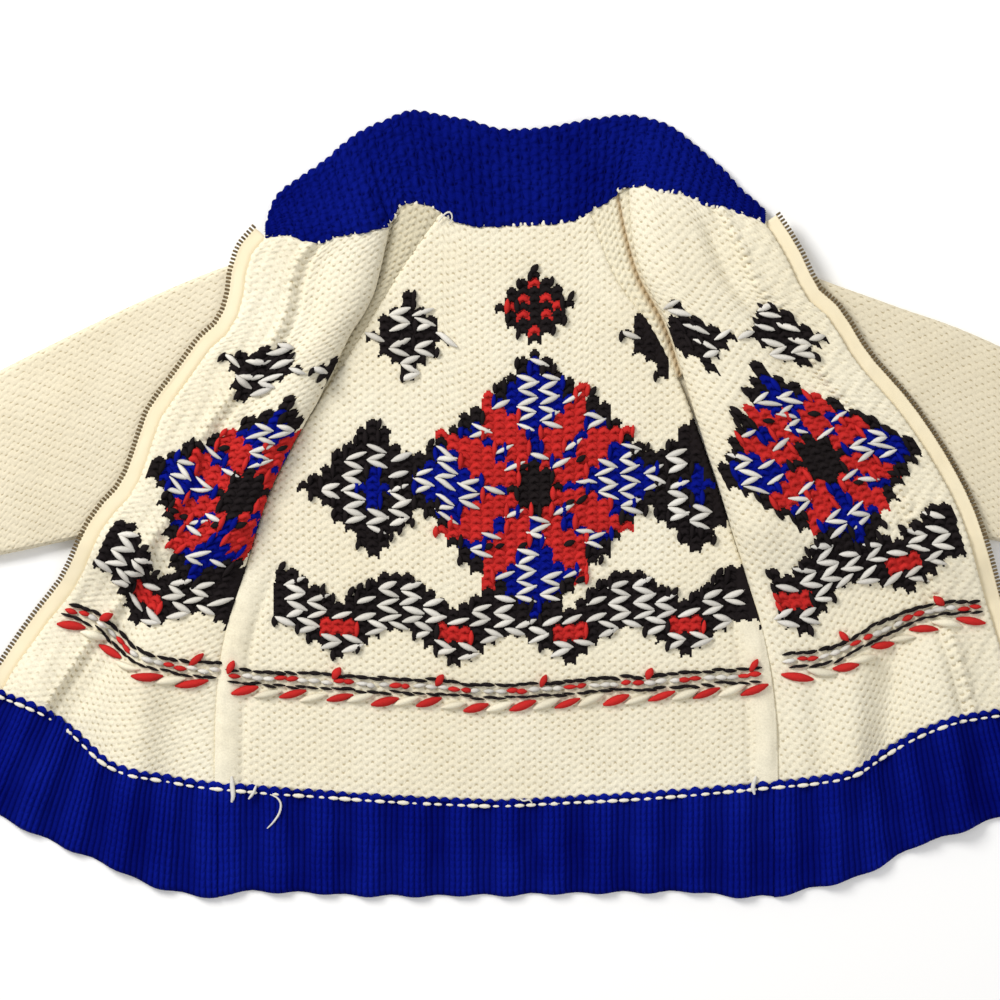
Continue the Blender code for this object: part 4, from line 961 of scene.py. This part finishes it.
def makeCap(side):  # the part of the sleeve's inside that shows between the back and the front
    shape, rows, cols = sides[side], capShape["rows"], capShape["cols"]
    raglan = smoothLine(shape["backEdge"][:4], 80)
    crease = smoothLine(shape["crease"][:capShape["creasePoints"][side]], 80)
    down = np.linspace(0, 1, rows)
    inner = along(raglan, down)
    outer = along(movedOut(crease, capShape["underFront"], shape["out"]), down)
    share = np.linspace(0, 1, cols)[None, :, None]
    plan = inner[:, None] + (outer - inner)[:, None] * share
    edge = along(smoothLine(shape["capEdge"], 60), share[0, :, 0]) - plan[0]
    edge[-12:] *= np.linspace(1, 0, 12)[:, None]
    plan = plan + edge[None] * ((1 - down) ** 4)[:, None, None]
    x, y = plan[..., 0], plan[..., 1]
    width = np.linalg.norm(plan[:, -1] - plan[:, 0], axis=1)[:, None]
    fromRaglan, toCrease = share[..., 0] * width, (1 - share[..., 0]) * width
    z = capShape["level"] + 0.5 * waves(x, y, 51, 40) - 1.2 * bell(fromRaglan, 3.0)
    z = z - capShape["dip"] * bell(toCrease - capShape["dipAt"], capShape["dipWidth"])
    courses = np.linalg.norm(raglan[-1] - raglan[0]) / course
    stitch = np.dstack([-toCrease / wale, np.repeat((down * courses)[:, None], cols, 1), np.ones_like(x)])
    tone, creaseShade = np.array(capShape["tone"][side]), np.array(capShape["creaseShade"])

    def shaded(points):  # painted shade: a warm dark line runs beside the front's crease
        away = -points[:, :1] * wale - capShape["creaseShadeAt"]
        mixed = tone + (creaseShade - tone) * capShape["creaseShadeWeight"][side] * bell(away, capShape["creaseShadeWidth"])
        return np.hstack([mixed, np.ones_like(away)])

    top, low = np.dstack([x, y, z]), np.dstack([x, y, z - capShape["wall"]])
    obj = shellPiece("sleeve_cap_" + side, top, low, stitch, panel["underStep"], colourOf=shaded)
    return knitted(obj, purlRelief, purlForm, capShape["relief"], capWool)


caps = {side: makeCap(side) for side in sides}


# collar

def neckLine():
    half = cloth["collarWall"] / 2
    parts = []
    for side in sides:
        cap = smoothLine(sides[side]["capEdge"], 10)[1:-1]
        climb = np.linspace(0, 1, len(cap))[:, None] ** 3
        parts.append((frontMiddle(side, np.linspace(0, 1, zipPoints))[0],
                      np.column_stack([cap, half + (rolls[0].edge - half) * climb])))
    neck = smoothLine(backNeck, 24)
    neck = np.column_stack([neck, np.full(len(neck), half)])
    (leftFront, leftCap), (rightFront, rightCap) = parts
    return np.vstack([leftFront[::-1], leftCap[::-1], neck, rightCap, rightFront])


collarShape = {"perRidge": 8, "perStitch": 8, "stitches": 7, "relief": 1.9, "furrow": 0.6, "edgeRadius": 3.2,
               "underStep": (5, 4)}


def makeCollar():
    ridges, wall = cloth["collarRidges"], cloth["collarWall"]
    cols = ridges * collarShape["perRidge"] + 1
    rows = collarShape["stitches"] * collarShape["perStitch"] + 1
    shares = np.linspace(0, 1, cols)
    seam = along(neckLine(), shares)
    rimLine = along(smoothLine(collarEdge, 160), shares)
    rimLine = np.column_stack([rimLine, np.full(cols, wall / 2)])
    way = rimLine - seam
    length = np.linalg.norm(way[:, :2], axis=1)[:, None]
    bulge = np.cos(math.tau * shares * ridges)
    scallop = cloth["scallop"] * (np.sqrt(np.maximum(0.5 + 0.5 * bulge, 0)) - 1)
    scallop = scallop + 0.5 * waves(shares * 900, 0 * shares, 61, 60)
    rimLine = rimLine + way / length * scallop[:, None]
    down = np.linspace(0, 1, rows)[:, None]
    grid = seam + (rimLine - seam) * down[..., None]
    x, y = grid[..., 0], grid[..., 1]
    middle = rimLine[None, :, 2] + (seam[None, :, 2] - rimLine[None, :, 2]) * (1 - ease(down))
    rounding = roundEdge((1 - down) * length.T, collarShape["edgeRadius"], 0.02)
    lift = wall / 2 + (cloth["ridgeRaise"] + collarShape["furrow"] * bulge[None, :]) / 2
    lift = (lift + 0.7 * waves(x, y, 62, 70) + 0.35 * waves(x, y, 65, 13)) * rounding
    lift = lift - 1.1 * bell(down * length.T, 2.5)
    top = np.dstack([x, y, middle + lift])
    low = np.dstack([x, y, np.maximum(middle - wall / 2, 0)])
    stagger = 0.5 * np.floor(shares * ridges + 0.5)[None, :]
    # the third value scales the relief; where it is low, in the furrows between ridges, the wool is darkened
    # as painted shade
    stitch = np.dstack([down * collarShape["stitches"] + stagger + 0.35 * waves(x, y, 63, 26),
                        (shares * ridges)[None, :] + 0.5 + 0.20 * waves(x, y, 64, 20),
                        (0.9 + 0.1 * bulge[None, :]) * rounding])
    obj = shellPiece("collar_knit", top, low, stitch, collarShape["underStep"])
    return knitted(obj, purlRelief, garterForm, collarShape["relief"], collarWool)


collar = makeCollar()
print("collar:", len(collar.data.polygons), "faces")


# ribbing

ribShape = {"perStitch": 6, "perCourse": 5, "courses": 14, "relief": 1.5, "stitchesToRib": 4,
            "edgeRadius": 4.0, "underStep": (5, 6)}
cuffShape = {"ribs": 3, "perCourse": 4, "length": 86, "pinch": 0.04, "closing": 12, "inside": 0.93,
             "thin": 0.3}


def ribWave(phase):
    return np.clip(0.5 + 0.8 * np.cos(math.tau * phase), 0, 1)


def makeHem(name, above, below, ribs, folded, seed):
    stitches, courses = ribs * ribShape["stitchesToRib"], ribShape["courses"]
    cols, rows = stitches * ribShape["perStitch"] + 1, courses * ribShape["perCourse"] + 1
    shares = np.linspace(0, 1, cols)
    down = np.linspace(0, 1, rows)[:, None]
    above, below = along(above, shares), along(below, shares)
    edgeWave = 0.9 * waves(shares * cols, 0 * shares, seed, 90)
    edgeWave = edgeWave + 0.8 * np.cos(math.tau * (shares * ribs - 0.25))
    below = below + (below - above) / np.linalg.norm(below - above, axis=1)[:, None] * edgeWave[:, None]
    plan = above + (below - above) * down[..., None]
    x, y = plan[..., 0], plan[..., 1]
    wave = ribWave(shares[None, :] * ribs - 0.25 + 0.05 * waves(x, y, seed + 1, 80))
    length = np.linalg.norm(below - above, axis=1)[None, :]
    fromTop = down * length
    rounding = roundEdge((1 - down) * length, ribShape["edgeRadius"], 0.01)
    base = foldHeight(x, y) if folded else np.zeros_like(x)
    grown = 0.35 + 0.65 * ease(fromTop / 9)
    lift = cloth["ribWall"] - 0.5 + cloth["ribRaise"] * wave * grown + 0.4 * waves(x, y, seed + 2, 50)
    top = np.dstack([x, y, base + lift * rounding + 0.6 * bell(fromTop, 4)])
    # the third value scales the relief; where it is low, between the ribs, the wool is darkened as painted
    # shade
    stitch = np.dstack([(shares * stitches)[None, :] + 0.05 * waves(x, y, seed + 3, 30),
                        down * courses + 0.1 * waves(x, y, seed + 4, 40), (0.4 + 0.6 * wave) * rounding])
    obj = shellPiece(name, top, np.dstack([x, y, base]), stitch, ribShape["underStep"])
    return knitted(obj, plainRelief, ribForm, ribShape["relief"], hemWool)


hems = {"back": makeHem("hem_ribbing_back", smoothLine(backHem, 60), smoothLine(backHemLow, 60), 12, False,
                        71)}
for side, shape in sides.items():
    seam = np.vstack([shape["crease"][-1], frontMiddle(side, np.linspace(0, 1, zipPoints))[-1, :, :2]])
    lowEdge = smoothLine(shape["hemLow"][:-1] + [tuple(knitEdge(side)[1])], 60)
    hems[side] = makeHem("hem_ribbing_" + side, seam, lowEdge, 6, True, 75 + len(side))
print("hems ready")


def makeCuff(side):
    start, end = sides[side]["sections"][-2:]
    ribs = cuffShape["ribs"]
    upperCount = ribs * ribShape["stitchesToRib"] * ribShape["perStitch"] + 1
    spots = ringSpots(upperCount)
    upper = np.zeros(len(spots))
    upper[:upperCount] = 1
    wave = np.full(len(spots), 0.5)
    wave[:upperCount] = ribWave(np.linspace(0, ribs, upperCount))
    arch = np.sin(np.linspace(0, math.pi, upperCount)) ** 0.35
    raising = np.zeros(len(spots))
    raising[:upperCount] = cloth["ribRaise"] * wave[:upperCount] * arch
    stitchAt = np.zeros(len(spots))
    stitchAt[:upperCount] = np.linspace(0, ribs * ribShape["stitchesToRib"], upperCount)
    outer, inner, stitches = [], [], []
    for share in np.linspace(0, 1, ribShape["courses"] * cuffShape["perCourse"] + 1):
        above, below = (a + (b - a) * share for a, b in ((np.array(start[:2], float), np.array(end[:2])),
                                                         (np.array(start[2:4], float), np.array(end[2:4]))))
        pinch = cuffShape["pinch"] * ease(share / 0.1)
        above, below = above + (below - above) * pinch, below + (above - below) * pinch
        edge = roundEdge((1 - share) * cuffShape["length"], 4)
        ring = ringLine(flatRing((*above, *below, start.height, start.crown)), spots)
        lift = raising * (0.3 + 0.7 * min(share / 0.08, 1))
        ring[:, 2] += lift - (1 - edge) * 1.6 * upper
        outer.append(ring)
        small, centre, half = ring.copy(), ring[:, :2].mean(axis=0), start.height / 2
        small[:, :2] = centre + (ring[:, :2] - centre) * cuffShape["inside"]
        small[:, 2] = half + (ring[:, 2] - lift - half) * cuffShape["thin"]
        inner.append(small)
        # the third value scales the relief; where it is low, between the ribs, the wool is darkened as
        # painted shade
        stitches.append(np.column_stack([stitchAt, np.full(len(spots), share * ribShape["courses"]),
                                         upper * (0.35 + 0.65 * wave)]))
    rings = np.array(outer + inner[:-cuffShape["closing"] - 1:-1])
    stitches += [np.zeros((len(spots), 3))] * cuffShape["closing"]
    obj = meshPiece("cuff_ribbing_" + side, rings.reshape(-1, 3), tubeFaces(len(rings), len(spots)), (),
                    np.vstack(stitches))
    return knitted(obj, plainRelief, ribForm, ribShape["relief"], hemWool)


cuffs = {side: makeCuff(side) for side in sides}
print("cuffs ready")


# zip

zipShape = {"pitch": 2.52, "tooth": (1.45, 3.2, 2.2), "toothEdge": 0.28,
            "endGap": {"left": 12.0, "right": 7.0}}
Rib = namedtuple("Rib", "across level waving")
tapeRibs = [Rib(-2.0, -1.0, 0), Rib(0.3, -0.1, 0), Rib(1.6, 0.30, 1), Rib(3.2, 0.45, 1), Rib(5.0, 0.45, 1),
            Rib(6.8, 0.42, 1), Rib(8.0, 0.45, 1), Rib(8.6, 0.62, 0), Rib(9.6, 0.5, 0)]


def zipPath(side):
    edge, corner = knitEdge(side)
    line = np.column_stack([edge, frontMiddle(side, np.linspace(0, 1, zipPoints))[:, -1, 2]])
    foot = np.array([*corner, lying])
    return np.vstack([line, line[-1] + (foot - line[-1]) * np.array([0.25, 0.5, 0.75, 1])[:, None]])


def tapeMaterial():  # woven cotton
    material, tree, sockets, do = newMaterial("zipTapeCotton", Roughness=0.8, **{"Sheen Weight": 0.15})
    place = tree.nodes.new("ShaderNodeTexCoord").outputs["Object"]
    weave = []
    for angle in (0.6, -0.9):
        turned = addNode(tree, "ShaderNodeMapping", {"Vector": place, "Rotation": (0, 0, angle)}).outputs[0]
        thread = addNode(tree, "ShaderNodeTexWave", {"Vector": turned, "Scale": 420.0, "Distortion": 1.2,
                                                     "Detail": 1.0})
        weave.append(thread.outputs["Fac"])
    height = do("MULTIPLY", *weave)
    tone = mixColour(tree, noiseNode(tree, place, 30.0, 3.0), (0.84, 0.72, 0.48), (0.88, 0.79, 0.58))
    tone = mixColour(tree, do("MULTIPLY", height, 0.25), tone, (0.62, 0.52, 0.34))
    tree.links.new(tone, sockets["Base Color"])
    addBump(tree, sockets, height, 0.4, 0.0002)
    return material


def brassMaterial():
    material, tree, sockets, do = newMaterial("wornBrass", Metallic=1.0)
    place = tree.nodes.new("ShaderNodeTexCoord").outputs["Object"]
    grime, patch = noiseNode(tree, place, 700.0, 3.0, 0.6), noiseNode(tree, place, 60.0)
    worn = do("MULTIPLY_ADD", grime, 2.2, -0.6, clamp=True)
    tone = mixColour(tree, worn, (0.05, 0.036, 0.02), (0.32, 0.24, 0.12))
    tone = mixColour(tree, do("MULTIPLY", patch, 0.4), tone, (0.30, 0.19, 0.09))
    tree.links.new(tone, sockets["Base Color"])
    tree.links.new(do("MULTIPLY_ADD", grime, 0.3, 0.28), sockets["Roughness"])
    return material


tapeCloth, brass = tapeMaterial(), brassMaterial()


def makeTape(side):
    out, line = sides[side]["out"], resampled(zipPath(side), 2.2)
    top = np.stack([np.column_stack([movedOut(line, rib.across + cloth["seamGap"], out),
                                     line[:, 2] + rib.level]) for rib in tapeRibs], axis=1)
    top[..., 2] += 0.25 * waves(top[..., 0], top[..., 1], 81, 30) * np.array([rib.waving for rib in tapeRibs])
    low = top.copy()
    low[..., 2] = line[:, None, 2] - 0.5
    obj = shellPiece("tape_cotton_" + side, top, low, np.zeros_like(top), (1, 1))
    obj.data.materials.append(tapeCloth)
    return obj


def grainShape(size, point):  # a rounded grain, longer along x, that may come to a point along y
    shape = bmesh.new()
    bmesh.ops.create_uvsphere(shape, u_segments=8, v_segments=6, radius=0.5)
    for vert in shape.verts:
        vert.co.x *= 1 - point * (vert.co.y + 0.5)
    bmesh.ops.scale(shape, vec=Vector(size) * mm, verts=shape.verts)
    obj = bmeshPiece("grain", shape)
    obj.data.shade_smooth()
    return obj


def toothShape():
    shape = bmesh.new()
    bmesh.ops.create_cube(shape, size=1.0)
    bmesh.ops.scale(shape, vec=Vector(zipShape["tooth"]) * mm, verts=shape.verts)
    bmesh.ops.bevel(shape, geom=shape.edges[:], offset=zipShape["toothEdge"] * mm, segments=1, affect="EDGES")
    return bmeshPiece("tooth", shape)


def rowPiece(name, line, shape, spacing, uneven, seed, material):  # a row of one shape, which goes afterwards
    obj = grow(linePiece(name, [line]), rowAlongLine, Shape=shape, Spacing=spacing * mm, Uneven=uneven,
               Seed=seed, Material=material)
    bpy.data.objects.remove(shape)
    return obj


def shortened(line, by):
    reached = lengths(line[:, :2])
    length = reached[-1]
    return np.vstack([line[reached < length - by - 1], along(line, [1 - by / length])])


tapes, teeth = {}, {}
for side in sides:
    tapes[side] = makeTape(side)
    line = resampled(zipPath(side), 4.0)
    chain = np.column_stack([movedOut(line, teethFromKnit, sides[side]["out"]), line[:, 2]])
    chain = shortened(chain, zipShape["endGap"][side] + cloth["seamGap"])
    teeth[side] = rowPiece("teeth_brass_" + side, chain, toothShape(), zipShape["pitch"], 0.03, 5, brass)
for name in ("zip_slider", "zip_pull_tab", "zip_retainer_box", "zip_insertion_pin"):
    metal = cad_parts[name].data.materials
    metal.clear()
    metal.append(brass)
print("zip ready:", [len(t.data.polygons) for t in teeth.values()])


# floats: the yarns of the colourwork, as they lie on the wrong side

floatShape = {"bump": 1.95, "strand": 1.75, "lift": 2.3, "sides": 6}


def onPanel(top, row, col):
    row, col = np.clip(row, 0, top.shape[0] - 1), np.clip(col, 0, top.shape[1] - 1)
    r, c = np.floor(row).astype(int), np.floor(col).astype(int)
    r2, c2 = np.minimum(r + 1, top.shape[0] - 1), np.minimum(c + 1, top.shape[1] - 1)
    fr, fc = (row - r)[:, None], (col - c)[:, None]
    return (top[r, c] * (1 - fr) * (1 - fc) + top[r2, c] * fr * (1 - fc)
            + top[r, c2] * (1 - fr) * fc + top[r2, c2] * fr * fc)


def makeFloats(name, design, top, ends, toRow, toCol, wales, courses, seed):
    # a rounded bump for each coloured stitch, and the yarns that are carried across and knotted on top
    draw = np.random.default_rng(seed)
    across, up = np.meshgrid(np.arange(*wales), np.arange(*courses))
    labels = chart(design, across.ravel().astype(float), up.ravel() + 0.5)
    cells = zip(across.ravel().tolist(), up.ravel().tolist())

    def onCloth(wale, course):
        row = int(np.clip(toRow(course + 0.5), 0, top.shape[0] - 1))
        return ends[0][row] + 1 <= toCol(wale - 0.5) and toCol(wale + 0.5) <= ends[1][row] - 1

    yarnAt = {cell: label for cell, label in zip(cells, labels) if onCloth(*cell)}
    lines, widths, colours = [], [], []

    def addLine(wale, course, lift, width, tint):
        line = onPanel(top, toRow(course), toCol(wale))
        line[:, 2] += lift
        lines.append(line)
        widths.append(width)
        dyed = np.array(yarns[carriedOver.get(tint, tint)]) * draw.uniform(0.85, 1.1)
        colours.append(np.repeat([[*dyed, 1]], len(line), 0))

    def bump(wale, course, tint):
        s = np.linspace(-0.5, 0.5, 5)
        size = floatShape["bump"] * draw.uniform(0.92, 1.08)
        addLine(wale + s, course + 0.5 + 0.25 * np.cos(math.tau * s), np.array([-0.9, 0.1, 0.3, 0.1, -0.9]),
                size * np.array([0.45, 0.95, 1.0, 0.95, 0.45]), tint)

    def strand(w0, c0, w1, c1, tint, thick=1.0):
        s = np.linspace(0, 1, 6)
        jitter = draw.normal(0, 0.09, 4)
        arch = np.sin(math.pi * s)
        size = floatShape["strand"] * thick * draw.uniform(0.85, 1.15)
        addLine(w0 + jitter[0] + (w1 - w0 + jitter[1]) * s, c0 + jitter[2] + (c1 - c0 + jitter[3]) * s,
                floatShape["lift"] * (0.55 + 0.45 * arch), size * (0.25 + 0.75 * arch ** 0.8), tint)

    for (wale, course), here in yarnAt.items():
        after, above = yarnAt.get((wale + 1, course), here), yarnAt.get((wale, course + 1), here)
        if here == "cream":
            if after != "cream" and draw.random() < 0.3:
                strand(wale + 0.5, course - 0.3, wale + 0.6, course + 1.1, after)
            continue
        bump(wale, course, here)
        if here in carriedOver:
            if (wale + course // 11) % 2 == 0 and (wale + 1, course) in yarnAt and draw.random() < 0.95:
                near, far = (0.05, 0.98) if course % 2 == 0 else (0.95, 0.02)
                strand(wale - 0.55, course + near, wale + 1.2, course + far, "white",
                       1.15 if here == "tweed" else 0.95)
        elif here == "red":
            if course % 5 == 2 and draw.random() < 0.35:
                strand(wale - 0.4, course + 0.2, wale + 0.4, course + 0.7, "black", 1.15)
        if here != after and after != "cream" and course % 2 == 0 and draw.random() < 0.8:
            strand(wale + 0.5, course - 0.2, wale + 0.55, course + 1.7, [here, after][course // 2 % 2])
        elif after == "cream" and draw.random() < 0.3:
            strand(wale + 0.45, course - 0.2, wale + 0.6, course + 1.2, here, 0.9)
        if above == "cream" and here == "black" and draw.random() < 0.12:
            strand(wale - 0.2, course + 0.7, wale + 0.3, course + 1.8, here, 1.2)
    for wale in range(*wales):  # the double stripe above the hem: fine dark lines, and plaited dashes below
        if not onCloth(wale, 13):
            continue
        strand(wale - 0.6, 14.95, wale + 0.6, 14.8, "black", 0.75)
        strand(wale - 0.6, 13.3, wale + 0.6, 13.15, "black", 0.6)
        strand(wale - 0.5, 14.05, wale + 0.5, 14.05, "red" if wale % 5 in (1, 2) else "white", 1.0)
        if wale % 2 == 0:
            strand(wale - 1.2, 11.6, wale + 1.1, 12.6, "cream" if wale % 4 == 0 else "red", 1.5)
        if wale % 9 == 4:
            strand(wale - 0.5, 14.4, wale + 0.1, 15.9, "red", 1.5)
    return strandPiece(name, lines, widths, colours)


def strandPiece(name, lines, widths, colours):
    obj = linePiece(name, lines, np.concatenate(widths), np.vstack(colours))
    return grow(obj, yarnStrands, Radius=mm, Sides=floatShape["sides"], Material=strandWool)


def rowOf(courses):
    return lambda at: (courses - at) * panel["perCourse"]


backFirst = math.floor(panel["backReach"][0] / (wale / panel["perWale"]))
floats = {"back": makeFloats("floats_back", designs["back"], backTop, backEnds, rowOf(panel["backCourses"]),
                             lambda at: at * panel["perWale"] - backFirst, (-23, 24), (12, 68), 91)}
for side in sides:
    floats[side] = makeFloats("floats_" + side, designs["front"], *fronts[side][1:],
                              rowOf(panel["frontCourses"]), lambda at: at * panel["perWale"], (1, 19),
                              (12, 60), 92 + len(side))
print("floats ready")


# seams and loose ends

Beads = namedtuple("Beads", "size spacing uneven point out lift seed")
hemLoops = Beads((8.6, 3.6, 2.8), 7.3, 0.3, 0.6, 0.6, 0.3, 11)
hemDashes = Beads((6.6, 2.4, 2.0), 7.4, 0.34, 0.0, -2.7, 0.9, 12)
neckLoops = Beads((4.4, 3.9, 2.6), 3.9, 0.34, 0.5, 0.35, 1.2, 13)


def seamBeads(name, line, beads, material):
    path = np.column_stack([movedOut(line, beads.out, 1), line[:, 2] + beads.lift])
    return rowPiece(name, path, grainShape(beads.size, beads.point), beads.spacing, beads.uneven, beads.seed,
                    material)


def withoutDoubles(line, least):
    return line[np.concatenate([[True], np.linalg.norm(np.diff(line[:, :2], axis=0), axis=1) > least])]


seams = []
hemLines = {"back": np.column_stack([smoothLine(backHem, 120), np.full(120, cloth["wall"])])}
for side in sides:
    hemLines[side] = fronts[side][1][-1, ::3] + np.array([0, 0, 2.1])
for key, line in hemLines.items():
    line = line[::-1] if key == "left" else line
    line = withoutDoubles(line[np.argsort(line[:, 0])], 0.2)
    seams.append(seamBeads("hem_loops_" + key, line, hemLoops, blueYarn))
    seams.append(seamBeads("hem_dashes_" + key, line, hemDashes, creamYarn))
seams.append(seamBeads("neck_loops", resampled(withoutDoubles(neckLine(), 0.3), 3.0), neckLoops, creamYarn))
strays = {  # loose ends: points on the table plan with their heights, and the yarn's radius
    "neck": ([(-40, 183, 6), (-36, 188, 7.5), (-32.5, 189.5, 7.5), (-31, 186, 6.5), (-33, 182, 5)], 0.6),
    "hemTuft": ([(-174, -176, 6), (-173.5, -183, 6.5), (-173, -189, 7), (-174, -193, 6.5)], 1.6),
    "hemTuftShort": ([(-158, -182, 6), (-160, -187, 7), (-163, -191, 7)], 1.0),
    "hemCurl": ([(-149, -188, 6.5), (-144.5, -190, 7.2), (-142, -194, 7.6), (-143, -200, 7.6),
                 (-147, -206, 7.2), (-151, -210, 6.6)], 0.75),
    "hemRight": ([(166, -176, 6), (164, -183, 6.5), (165, -188, 6.8)], 1.4),
    "hemMiddle": ([(12, -190, 6), (15, -192, 7), (19, -191.5, 7), (21, -194, 6.5)], 0.6),
}
strayPoints = 14
fade = np.sin(np.linspace(0.12, math.pi - 0.12, strayPoints)) ** 0.4
seams.append(strandPiece("loose_ends", [smoothLine(points, strayPoints) for points, _ in strays.values()],
                         [size * fade for _, size in strays.values()],
                         [[[*yarns["white"], 1]] * strayPoints for _ in strays]))
print("seams ready")


# each piece joins the body, and the model parts that it stands for are hidden

for side in sides:
    for piece, node, slotName in (
            (fronts[side][0], "front_", "cream_knit"), (sleeves[side], "sleeve_", "cream_knit"),
            (hems[side], "hem_front_", "blue_knit"), (cuffs[side], "cuff_", "blue_knit"),
            (tapes[side], "zip_tape_", "zip_tape"), (teeth[side], "zip_teeth_", "brass")):
        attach(piece, body)
        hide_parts(node + side)
for piece, node, slotName in ((backPanel, "back", "cream_knit"), (collar, "collar", "blue_knit"),
                              (hems["back"], "hem_back", "blue_knit")):
    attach(piece, body)
    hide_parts(node)
for piece in [*caps.values(), *floats.values(), *seams]:
    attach(piece, body)
    "blue_knit" if "hem_loops" in piece.name else "cream_knit"


# floor, light and camera, in metres

Lamp = namedtuple("Lamp", "name place size power")
stage = {"reach": 3.0, "floorLevel": -0.0003, "sensor": 36, "lens": 36 * 2.4 / 0.65,
         "camera": (0, 0.00293, 2.4), "world": 0.55, "lampTone": (1.0, 0.985, 0.955),
         "lamps": [Lamp("key", (-1.25, 1.15, 1.40), 0.95, 40), Lamp("fill", (1.5, -0.5, 1.9), 1.2, 9)]}


def makeStage():
    mesh = bpy.data.meshes.new("floor")
    corners = [(-1, -1), (1, -1), (1, 1), (-1, 1)]
    mesh.from_pydata([(stage["reach"] * x, stage["reach"] * y, stage["floorLevel"]) for x, y in corners], [],
                     [(0, 1, 2, 3)])
    paleFloor = newMaterial("paleFloor", Roughness=0.9, **{"Base Color": (0.97, 0.97, 0.97, 1)})[0]
    mesh.materials.append(paleFloor)
    placed("floor", mesh)
    for lamp in stage["lamps"]:
        light = bpy.data.lights.new(lamp.name, "AREA")
        light.shape = "DISK"
        light.size = lamp.size
        light.energy = lamp.power
        light.color = stage["lampTone"]
        obj = placed(lamp.name, light)
        obj.location = lamp.place
        obj.rotation_euler = (-Vector(lamp.place)).to_track_quat("-Z", "Y").to_euler()
    world = bpy.data.worlds.new("studio")
    world.use_nodes = True
    background = world.node_tree.nodes["Background"]
    background.inputs[0].default_value = (1, 1, 1, 1)
    background.inputs[1].default_value = stage["world"]
    bpy.context.scene.world = world
    data = bpy.data.cameras.new("overheadCamera")
    data.sensor_width = stage["sensor"]
    data.lens = stage["lens"]
    camera = placed("overheadCamera", data)
    camera.location = stage["camera"]
    bpy.context.scene.camera = camera
    bpy.context.scene.view_settings.view_transform = "Standard"


makeStage()
bpy.context.view_layer.update()
print("all pieces ready")
